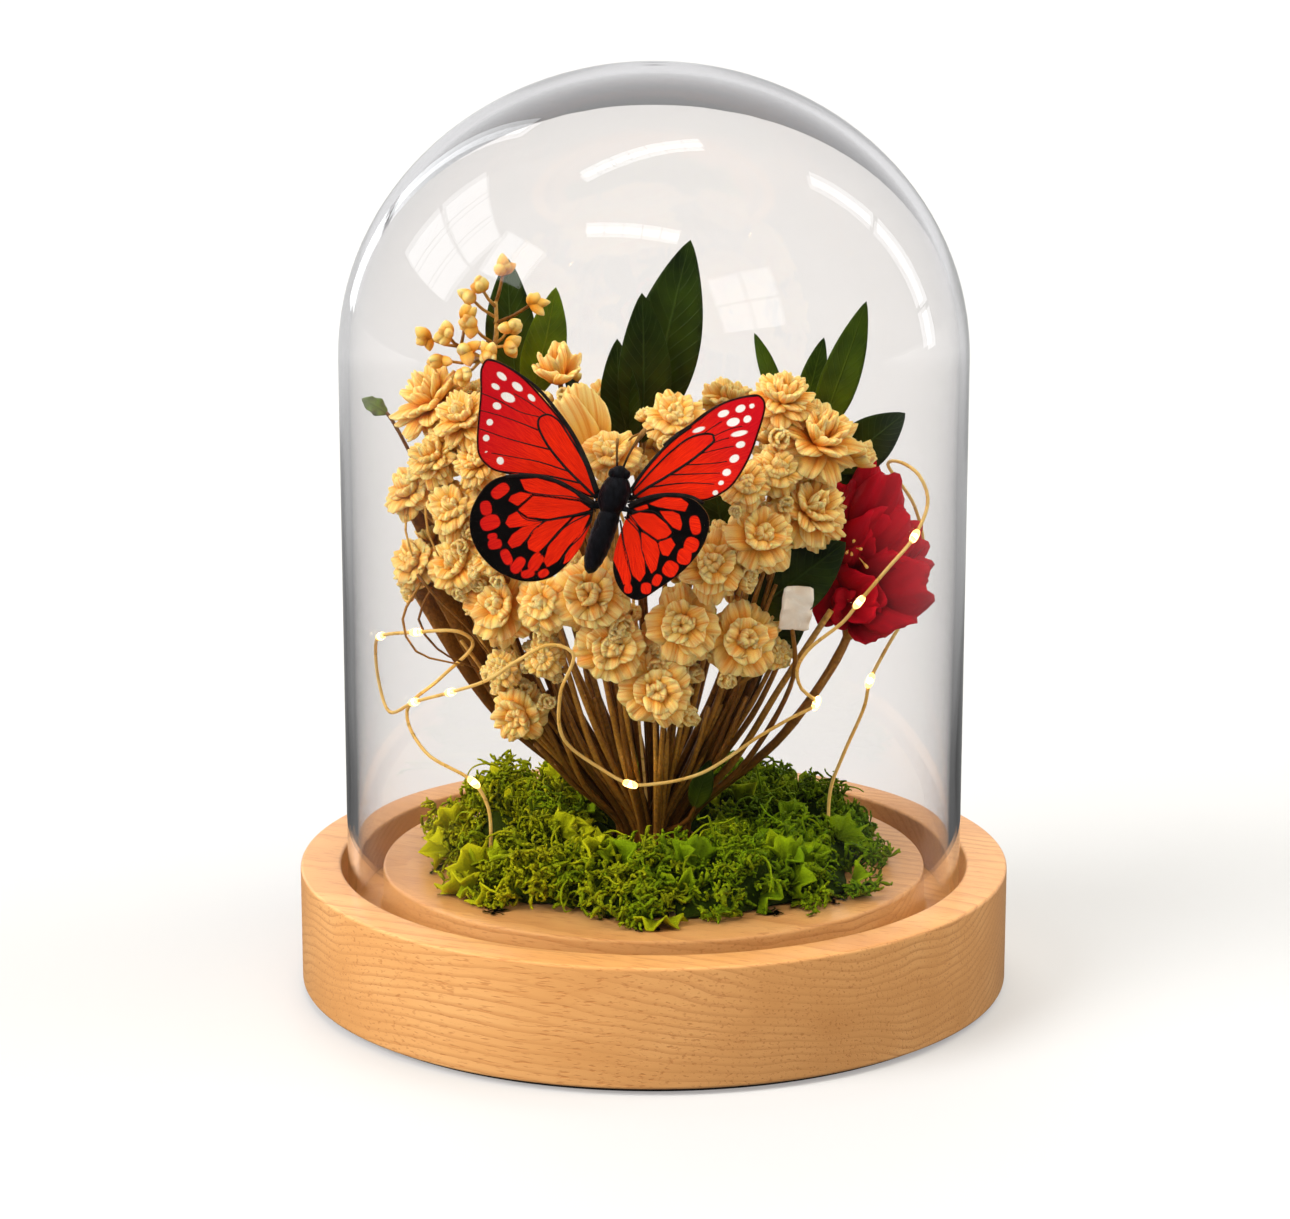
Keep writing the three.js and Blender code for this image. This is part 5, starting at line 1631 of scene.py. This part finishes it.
def spot_distance(points, spot, roundness=2.0):
    """Negative inside an oval and positive outside, in mm. Over 2, the oval turns squarer."""
    x, y, width, height, turn = spot
    offset = points - on_wing([(x, y)])[0]
    c, s = math.cos(math.radians(turn)), math.sin(math.radians(turn))
    half_width, half_height = 0.5 * width * SKETCH_UNIT, 0.5 * height * SKETCH_UNIT
    along = (offset[:, 0] * c + offset[:, 1] * s) / half_width
    across = (offset[:, 1] * c - offset[:, 0] * s) / half_height
    size = (np.abs(along) ** roundness + np.abs(across) ** roundness) ** (1 / roundness)
    return (size - 1) * min(half_width, half_height)


def cell_distance(points, cell):
    """Negative inside a cell and positive outside, in mm."""
    outline = on_wing(cell)
    away = distance_to_line(points, closed(outline))
    return np.where(inside(points, outline), -away, away)


print("wing marks:", sum(map(len, RED_CELLS.values())), "red cells")

# %% [markdown]
# A wing mesh runs in rings from a middle point to the outline, dense enough that the measured distances
# stay true between its points. It is a thin plate, a quarter of a millimetre thick, gently ribbed from
# the root. The veins of a real wing are stiff tubes, so they are modelled, not painted: thin tubes that
# stand a hair proud of both sides.

# %% Wing shapes
WING_THICKNESS = 0.22
WING_RISE = 0.004
WING_SIDES = 144
WING_RINGS = 30
FAR_FROM_MARKS = 9.0
BORDER_SPOT_ROUNDNESS = 2.8
VEIN_PROUD = 0.19
WING_LEVEL = {"forewing_left": -0.1, "forewing_right": -0.1, "hindwing_left": 1.1, "hindwing_right": 1.1}


def butterfly_to_world(points):
    """The butterfly's own axes to the row frame: X right, Y up the body, Z to the viewer."""
    turn = math.pi / 2 - BUTTERFLY_LEAN
    c, s = math.cos(turn), math.sin(turn)
    x, y, z = points[..., 0], points[..., 1], points[..., 2]
    return np.stack([x, y * c - z * s, y * s + z * c], -1) + BUTTERFLY_PLACE


def wing_height(name, flat):
    """How far the wing stands towards the viewer at each place on it."""
    x, y = (flat - np.array(WING_ROOTS[name])).T
    ribs = 0.09 * np.sin(15 * np.arctan2(y, x)) * np.clip(np.hypot(x, y) / 12, 0, 1)
    return WING_LEVEL[name] + WING_RISE * flat[:, 0] ** 2 + ribs


def smooth_outline(outline, count):
    """Evenly spaced points on the smooth closed curve through the outline."""
    route = np.vstack([outline[-1:], outline, outline[:2]])
    line = smooth_line(np.column_stack([route, np.zeros(len(route))]), 0.4)[:, :2]
    from_first = int(np.argmin(np.linalg.norm(line - outline[0], axis=1)))
    ring = line[from_first:]
    to_end = int(np.argmin(np.linalg.norm(ring[20:] - outline[0], axis=1))) + 20
    ring = ring[: to_end + 1]
    steps = np.concatenate([[0], np.cumsum(np.linalg.norm(np.diff(ring, axis=0), axis=1))])
    wanted = np.linspace(0, steps[-1], count, endpoint=False)
    return np.stack([np.interp(wanted, steps, ring[:, 0]), np.interp(wanted, steps, ring[:, 1])], -1)


def wing_marks(name, flat, outline):
    """The distances to the edge, the pale spots and the red cells, and the place seen from the root."""
    spots = [spot_distance(flat, spot) for spot in PALE_SPOTS.get(name, [])]
    cells = [spot_distance(flat, spot, BORDER_SPOT_ROUNDNESS) + 0.08 for spot in BORDER_SPOTS.get(name, [])]
    cells += [cell_distance(flat, cell) for cell in RED_CELLS.get(name, [])]
    far = np.full(len(flat), FAR_FROM_MARKS)
    offset = flat - WING_ROOTS[name]
    return {
        "edge": distance_to_line(flat, closed(outline)),
        "spot": np.min([far, *spots], axis=0),
        "cell": np.min([far, *cells], axis=0),
        "ray": np.arctan2(offset[:, 1], np.abs(offset[:, 0])),
        "reach": np.hypot(offset[:, 0], offset[:, 1]),
    }


def wing(name, look):
    sides, rings = WING_SIDES, WING_RINGS
    outline = smooth_outline(np.reshape(WING_OUTLINES[name], (-1, 2)), sides)
    middle = outline.mean(0)
    shares = np.linspace(1, 0, rings, endpoint=False)[::-1] ** 0.85
    flat = middle + shares[:, None, None] * (outline - middle)
    flat = np.vstack([flat.reshape(-1, 2), middle[None]])
    level = wing_height(name, flat)
    front = butterfly_to_world(np.column_stack([flat, level + WING_THICKNESS / 2]))
    back = butterfly_to_world(np.column_stack([flat, level - WING_THICKNESS / 2]))
    index = np.arange(rings * sides).reshape(rings, sides)
    turned = np.roll(index, -1, axis=1)
    quads = np.stack([index[:-1], index[1:], turned[1:], turned[:-1]], -1).reshape(-1, 4)
    fan = np.stack([np.full(sides, rings * sides), index[0], turned[0]], -1)
    count = len(flat)
    rim = np.stack([index[-1], index[-1] + count, turned[-1] + count, turned[-1]], -1)
    (start_x, start_y), (next_x, next_y) = middle - outline[0], outline[1] - outline[0]
    if next_x * start_y < next_y * start_x:
        quads, fan, rim = quads[:, ::-1], fan[:, ::-1], rim[:, ::-1]
    both_fans = np.concatenate([fan, fan[:, ::-1] + count])
    faces = [np.concatenate([quads, quads[:, ::-1] + count, rim]), both_fans]
    heap = Heap()
    marks = {label: np.tile(value, 2) for label, value in wing_marks(name, flat, outline).items()}
    heap.add(np.vstack([front, back]), faces, **marks)
    return heap.piece(name + "_plate", look, "butterfly_wing", name)


def wing_veins(name, look):
    heap = Heap()
    for sketch_line, start_width, end_width in WING_VEINS[name]:
        flat = on_wing(sketch_line)
        line = smooth_line(np.column_stack([flat, np.zeros(len(flat))]), 0.7)
        line[:, 2] = wing_height(name, line[:, :2])
        width = np.maximum(np.linspace(start_width, end_width, len(line)) * 0.62, 0.15)
        points, faces, along = tube(line, width, 6)
        local = points.copy()
        centre_level = wing_height(name, points[:, :2])
        local[:, 2] = centre_level + np.clip(points[:, 2] - centre_level, -VEIN_PROUD, VEIN_PROUD)
        heap.add(butterfly_to_world(local), faces, along=along)
    return heap.piece(name + "_veins", look, "butterfly_wing", name)


print("wings are", WING_THICKNESS, "mm thick")

# %% [markdown]
# Forewings and hindwings share one finish with a switch, because only their marks differ. Fine streaks that
# run out from the root give the dusty grain of scales, a deeper crimson towards the outer wing is a painted
# reflection of the dome, and a thin warm lip closes the edge.

# %% Wing finishes
def wing_finish(name, has_cells):
    made, tree, shader = material(name, Roughness=0.5, Specular_IOR_Level=0.12)
    ray, reach, edge = mark(tree, "ray"), mark(tree, "reach"), mark(tree, "edge")
    wing_place = joined_vector(tree, reach, times(tree, ray, 9.0))
    scales = streaks_of(tree, wing_place, 0.35, 9.0, 0.35, 0.7)
    red = blend(tree, scales["Streaks"], (0.95, 0.028, 0.0012, 1), (0.62, 0.006, 0.0005, 1))
    # Deeper crimson towards the outer wing: a painted reflection of the dome.
    outward = span(tree, reach, (13.0, 25.0), (0.0, 0.85))
    red = blend(tree, outward, red, (0.56, 0.0015, 0.012, 1))
    black = (0.003, 0.0025, 0.0025, 1)
    if has_cells:
        cell = edge_mask(tree, mark(tree, "cell"), 0.0, 0.09)
        colour = blend(tree, cell, black, red)
    else:
        margin = edge_mask(tree, edge, 0.38, 0.14)
        colour = blend(tree, margin, red, black)
        pale = edge_mask(tree, mark(tree, "spot"), 0.0, 0.08)
        colour = blend(tree, pale, colour, (0.93, 0.9, 0.86, 1))
    lip = edge_mask(tree, edge, 0.05, 0.04)
    colour = blend(tree, times(tree, lip, 0.7), colour, (0.5, 0.2, 0.06, 1))
    set_colour(tree, shader, colour)
    relief(tree, shader, scales["Raw"], 0.00012)
    return made


def vein_finish():
    made, tree, shader = material("wing_vein", Roughness=0.55, Specular_IOR_Level=0.25)
    place = object_place(tree)
    dust = noise(tree, place, 1200.0)
    set_colour(tree, shader, ramp(tree, dust, (0.3, (0.006, 0.005, 0.005)), (0.8, (0.022, 0.016, 0.014))))
    return made


forewing_look = wing_finish("forewing", has_cells=False)
hindwing_look = wing_finish("hindwing", has_cells=True)
vein_look = vein_finish()
for wing_name in WING_OUTLINES:
    made = wing(wing_name, forewing_look if wing_name.startswith("fore") else hindwing_look)
    wing_veins(wing_name, vein_look)
    print(wing_name, len(made.data.polygons), "faces")

# %% [markdown]
# The body is black and velvety with a cool shine. It is one revolved outline for each part, laid along its
# own straight axis: a long ringed abdomen, a thick thorax and a small head with two round eyes. Feelers and
# legs are thin tubes. The hair is too fine for geometry at this size, so streaks in the finish break up the
# shine instead.

# %% Butterfly body
BODY_LINE = unit(np.array([0.36, 1, 0]))
# Abdomen, thorax, head and eyes: middle, half length, half width, direction and number of rings
BODY_PARTS = [
    ((-1.7, -6.2, 0.6), 7.6, 2.15, BODY_LINE, 9),
    ((0.4, 1.0, 0.7), 4.0, 2.75, BODY_LINE, 0),
    ((1.3, 4.8, 1.0), 1.6, 1.6, (1, 0.1, 0), 0),
    ((0.2, 5.0, 1.4), 0.95, 0.85, BODY_LINE, 0),
    ((2.5, 4.7, 1.4), 0.95, 0.85, BODY_LINE, 0),
]
# Feelers: the route, and the radius of the club at the end
FEELERS = [
    ([[1, 5.2, 1], [0.9, 8, 1.6], [1, 11.3, 2.2]], 0.34),
    ([[1.7, 5.2, 1], [3.4, 9, 1.6], [6.1, 13, 2.4]], 0.55),
]
FEELER_RADIUS = 0.22


def swollen(centre, half_length, half_width, axis, rings=0, steps=30):
    """The line and radii of an egg shape along an axis, with shallow rings round it."""
    t = np.linspace(-1, 1, steps)
    radii = half_width * np.sqrt(np.maximum(1 - np.abs(t) ** 2.4, 0.0004))
    radii = radii * (1 + 0.035 * np.cos(rings * np.pi * t) * (rings > 0))
    return np.asarray(centre, float) + (t * half_length)[:, None] * unit(np.asarray(axis, float)), radii


def body_finish():
    made, tree, shader = material(
        "insect_body", Roughness=0.4, Specular_IOR_Level=0.25, Sheen_Weight=0.02, Sheen_Roughness=0.35,
        Sheen_Tint=(0.45, 0.6, 0.85, 1),
    )
    place = object_place(tree)
    hair = streaks_of(tree, place, 1500.0, 700.0, 0.3, 0.7)
    blacks = (0.1, (0.001, 0.001, 0.0015)), (0.9, (0.006, 0.007, 0.01))
    set_colour(tree, shader, ramp(tree, hair["Streaks"], *blacks))
    relief(tree, shader, hair["Raw"], 0.0004)
    return made


def feeler_finish():
    made, tree, shader = material("feeler", Roughness=0.4)
    tips = (0.25, (0.012, 0.008, 0.005)), (0.8, (0.2, 0.09, 0.02)), (1.0, (0.4, 0.2, 0.05))
    set_colour(tree, shader, ramp(tree, mark(tree, "along"), *tips))
    return made


def butterfly_body():
    heap = Heap()
    for part in BODY_PARTS:
        heap.add_tube(*swollen(*part), 28, place=butterfly_to_world)
    for wing_name, root in WING_ROOTS.items():
        near = np.array([*root, WING_LEVEL[wing_name]])
        middle = np.array([0.3, 0.3 + 0.6 * root[1], 0.6])
        beyond = near + unit(near - middle) * [1.6, 0.8, 0]
        line = smooth_line([middle, near, beyond], 0.6)
        heap.add_tube(line, np.linspace(1.0, 0.3, len(line)), 10, 0.5, butterfly_to_world)
    for side in (-1, 1):
        for along_body, splay in ((1.6, 1.4), (-0.6, 2.6)):
            hip = [0.5 + 0.36 * along_body, along_body, -1.2]
            knee = [0.5 + side * (1.4 + splay), along_body + 0.4, -3.2]
            toe = [0.5 + side * (1 + splay), along_body - 1.2, -5]
            heap.add_tube(smooth_line([hip, knee, toe], 0.6), 0.2, place=butterfly_to_world)
    body = heap.piece("butterfly_body_dark", body_finish(), "butterfly_body", "butterfly_body")
    feelers = Heap()
    for route, club in FEELERS:
        line = smooth_line(route, 0.3)
        share = np.linspace(0, 1, len(line))
        swelling = np.clip((share - 0.6) / 0.3, 0, 1) * np.sqrt(np.clip((1.02 - share) * 9, 0.05, 1))
        feelers.add_tube(line, FEELER_RADIUS + (club - FEELER_RADIUS) * swelling, place=butterfly_to_world)
    feelers.piece("butterfly_feelers", feeler_finish(), "butterfly_body", "butterfly_body")
    return body


body = butterfly_body()
print("butterfly body:", len(body.data.polygons), "faces")

# %% [markdown]
# A string of tiny lights winds through the bouquet: stiff copper wire with a drop of clear resin every few
# centimetres, and a glowing chip inside each drop. The wire repeats the route of its solid, and a faint
# painted glow on the copper stands for the light of the lamps. Each light is a warm core that gives light,
# in a clear drop whose own glow is painted in as emission.

# %% Light string
LIGHT_WIRE_ROUTE = [
    [34.3, -2, 25.5], [34.5, -2, 38], [36.7, -4, 45.6], [40.6, -6, 56], [41.4, -9, 62], [44.5, -4, 66.5],
    [50, 3, 74], [53, 6, 84], [51, 6, 93], [45, 0, 102.5], [47, -6, 104], [50, -10, 102.3], [51.6, -11, 98],
    [48.6, -17, 92], [43.5, -20, 86.5], [38.3, -20, 80], [35.5, -19, 76], [29, -19, 70.5], [27, -18, 66.5],
    [28, -15.5, 62], [30.9, -14, 58.8], [26, -14.5, 56], [20, -15, 52.5], [9, -16, 45.5], [0, -16.5, 43.5],
    [-4.5, -16.5, 43.5], [-10, -16.5, 46.5], [-17, -19, 53], [-17.5, -25, 63.5], [-15, -29.5, 72.5],
    [-19, -29, 74], [-25, -26.5, 70.5], [-31, -24, 66], [-38.5, -16, 61.5], [-46, -8, 57.5],
    [-51.5, -2, 54], [-54, 2, 59], [-54.3, 0, 66], [-52.5, -6, 70], [-45, -13, 72.5], [-37, -16.5, 73.5],
    [-34.5, -11, 69.5], [-41, -7, 62], [-48, -2, 54], [-44, -8, 47.5], [-34.5, -13.5, 43],
    [-31.7, -14.1, 38], [-31.5, -14, 25.5],
]
LIGHT_BEAD_STOPS = [4, 13, 15, 20, 25, 33, 34, 38, 39, 45]
LIGHT_WIRE_RADIUS = 0.35


def light_finishes():
    glow, tree, shader = material("light_core", Base_Color=(1, 0.85, 0.6, 1), Emission_Strength=28.0)
    warm = (0.0, (1.0, 0.62, 0.22)), (0.5, (1.0, 0.86, 0.55)), (1.0, (1.0, 0.62, 0.22))
    plug(tree, shader, {"Emission Color": ramp(tree, mark(tree, "along"), *warm)})
    # The drop's own emission is a painted glow of the lamp inside it.
    drop, tree, shader = material(
        "resin_with_painted_glow", Base_Color=(1, 0.97, 0.9, 1), Roughness=0.05, IOR=1.5, Transmission_Weight=1.0,
        Emission_Color=(1.0, 0.6, 0.2, 1), Emission_Strength=2.2,
    )
    place = object_place(tree)
    relief(tree, shader, noise(tree, place, 500.0), 0.0001)
    return glow, drop


def light_string():
    wire, cores, drops = Heap(), Heap(), Heap()
    line = smooth_line(LIGHT_WIRE_ROUTE, 1.5)
    wire.add_tube(line, LIGHT_WIRE_RADIUS)
    for stop in LIGHT_BEAD_STOPS:
        before, place, after = (np.array(LIGHT_WIRE_ROUTE[stop + k], float) for k in (-1, 0, 1))
        axis = after - before
        cores.add_tube(*swollen(place, 0.7, 0.36, axis, steps=10), 10)
        drops.add_tube(*swollen(place, 1.6, 0.75, axis, steps=16), 14)
    glow, resin = light_finishes()
    wire.piece("light_wire", copper, "copper_wire", "light_string")
    cores.piece("light_cores", glow, "copper_wire", "light_string")
    return drops.piece("light_drops", resin, "dome_glass", "light_string")


light_string()
print("lights:", len(LIGHT_BEAD_STOPS))

# %% [markdown]
# The studio is a pale floor that runs past the edge of the picture, and soft light from suns, which keep
# the floor evenly white to its far end. Glass mirrors whatever stands before it, and a white room would
# lay a pale veil over everything inside. Photographers hang black cloth in front of the glass. The same
# is done here with the ray itself: a ray that has been mirrored once finds a dark room in front and a
# pale one behind, with bright windows in it. They make the patches on the dome. The floor adds a little
# light of its own, so it stays white, yet it bounces only a dim grey onto the pieces. Where the floor
# ends, the camera sees plain white.

# %% Floor, light and surroundings
def seen_in_a_reflection(tree):
    """1 for rays that some surface has mirrored, else 0."""
    return math_node(tree, "GREATER_THAN", node(tree, "LightPath").outputs["Glossy Depth"], 0.5)


def floor_finish():
    made, tree, shader = material(
        "studio_floor", Roughness=0.9, Specular_IOR_Level=0.0, Emission_Color=(1, 1, 1, 1),
        Emission_Strength=0.3,
    )
    place = object_place(tree)
    cloud = noise(tree, place, 3.0)
    set_colour(tree, shader, ramp(tree, cloud, (0.3, (0.4, 0.41, 0.435)), (0.7, (0.415, 0.425, 0.45))))
    behind = span(tree, split_vector(tree, place)["Y"], (-0.1, 0.8))
    room = blend(tree, behind, (0.012, 0.012, 0.012, 1), (0.7, 0.7, 0.7, 1))
    dim = node(tree, "Emission", {"Color": room})
    seen = shader_mix(tree, seen_in_a_reflection(tree), shader.outputs[0], dim.outputs[0])
    bounced = node(tree, "Emission", {"Color": (0.34, 0.33, 0.32, 1)})
    by_ray = node(tree, "LightPath").outputs["Is Diffuse Ray"]
    show(tree, shader_mix(tree, by_ray, seen, bounced.outputs[0]))
    return made


def flat_sheet(name, w, h, look):
    """A flat sheet of the studio, from -w to w and from -h to h."""
    mesh = bpy.data.meshes.new(name)
    mesh.from_pydata([(-w, -h, 0), (w, -h, 0), (w, h, 0), (-w, h, 0)], [], [(0, 1, 2, 3)])
    mesh.materials.append(look)
    made = new_object(name, mesh)
    made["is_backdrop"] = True
    return made


FLOOR_REACH = 12.0
flat_sheet("floor", FLOOR_REACH, FLOOR_REACH, floor_finish())


def turn_to(made, toward):
    """Turns an object so that its own Z points the given way."""
    made.rotation_mode = "QUATERNION"
    made.rotation_quaternion = toward.to_track_quat("Z", "Y")


def sun(name, comes_from, strength, spread, colour):
    data = bpy.data.lights.new(name, "SUN")
    data.energy = strength
    data.angle = math.radians(spread)
    data.color = colour
    made = new_object(name, data)
    turn_to(made, Vector(comes_from))
    made.visible_glossy = made.visible_transmission = False
    return made


# Each sun: the direction it comes from, its strength, its spread in degrees and its colour
SUNS = {
    "key_left": ((-1.0, -0.6, 0.9), 3.2, 34, (1.0, 0.97, 0.92)),
    "side_left": ((-1.0, -0.2, 0.2), 1.1, 30, (1.0, 0.96, 0.9)),
    "fill_right": ((1.0, 0.0, 0.7), 1.1, 40, (0.98, 0.98, 1.0)),
    "fill_front": ((0.1, -1.0, 0.5), 0.3, 30, (1.0, 0.97, 0.93)),
    "overhead": ((0.3, -0.3, 1.0), 1.6, 40, (1.0, 0.87, 0.6)),
    "top_back": ((-0.2, 0.8, 1.2), 1.2, 30, (1.0, 0.95, 0.84)),
}
for sun_name, settings in SUNS.items():
    sun(sun_name, *settings)
print("suns:", len(SUNS))

# Each window: direction from -Y towards +X, height above the horizon, both in degrees, half width, half
# height, panes across, panes up and brightness
WINDOWS = {
    "window_left": (-104, 33, 0.3, 0.24, 3, 2, 1.9),
    "window_left_low": (-68, 40, 0.16, 0.14, 2, 1, 1.8),
    "window_front_right": (38, 31, 0.2, 0.2, 2, 2, 1.3),
    "skylight_front": (-14, 63, 0.26, 0.04, 5, 2, 4.0),
    "skylight_top": (-155, 81, 0.28, 0.035, 7, 2, 4.0),
    "window_right": (118, 18, 0.06, 0.6, 1, 3, 2.4),
    "window_far_left": (-150, 10, 0.06, 0.7, 1, 2, 2.4),
}
WINDOW_FAR = 3.0
DOME_MIDDLE_Z = 0.12


def window_finish(name, panes, brightness):
    made, tree, shader = material(
        name, Base_Color=(0, 0, 0, 1), Specular_IOR_Level=0.0, Emission_Strength=brightness
    )
    spot = split_vector(tree, node(tree, "TexCoord").outputs["Generated"])
    bars = []
    for axis, count in zip("XY", panes):
        across = math_node(tree, "FRACT", times(tree, spot[axis], float(count)))
        off_bar = math_node(tree, "ABSOLUTE", math_node(tree, "SUBTRACT", across, 0.5))
        bars.append(math_node(tree, "LESS_THAN", off_bar, 0.47))
    open_pane = times(tree, *bars)
    pane = blend(tree, open_pane, (0.1, 0.1, 0.1, 1), (0.96, 0.98, 1.0, 1))
    plug(tree, shader, {"Emission Color": pane})
    return made


for window_name, (turn, rise, half_width, half_height, *panes, brightness) in WINDOWS.items():
    turn, rise = math.radians(turn), math.radians(rise)
    toward = Vector((math.sin(turn) * math.cos(rise), -math.cos(turn) * math.cos(rise), math.sin(rise)))
    look = window_finish(window_name, panes, brightness)
    card = flat_sheet(window_name, half_width * WINDOW_FAR, half_height * WINDOW_FAR, look)
    card.location = toward * WINDOW_FAR + Vector((0, 0, DOME_MIDDLE_Z))
    turn_to(card, toward)
    card.visible_camera = card.visible_diffuse = card.visible_shadow = False

world = bpy.data.worlds.new("surroundings")
world.use_nodes = True
sky = world.node_tree
heading = split_vector(sky, node(sky, "TexCoord").outputs["Generated"])
far_side = span(sky, heading["Y"], (0.05, 0.9))
mirrored = blend(sky, far_side, (0.012, 0.012, 0.013, 1), (0.85, 0.85, 0.86, 1))
first_ray = node(sky, "LightPath").outputs["Is Camera Ray"]
direct = blend(sky, first_ray, (0.24, 0.24, 0.245, 1), (1.0, 1.0, 1.0, 1))
sky_colour = blend(sky, seen_in_a_reflection(sky), direct, mirrored)
sky.links.new(sky_colour, sky.nodes["Background"].inputs["Color"])
bpy.context.scene.world = world
bpy.context.scene.view_settings.view_transform = "Standard"
print("studio ready")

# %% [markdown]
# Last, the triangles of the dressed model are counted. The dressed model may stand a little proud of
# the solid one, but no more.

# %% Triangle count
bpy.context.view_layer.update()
total = sum(len(p.vertices) - 2 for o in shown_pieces() if o.type == "MESH" for p in o.data.polygons)
print("triangles in the dressed model:", total)
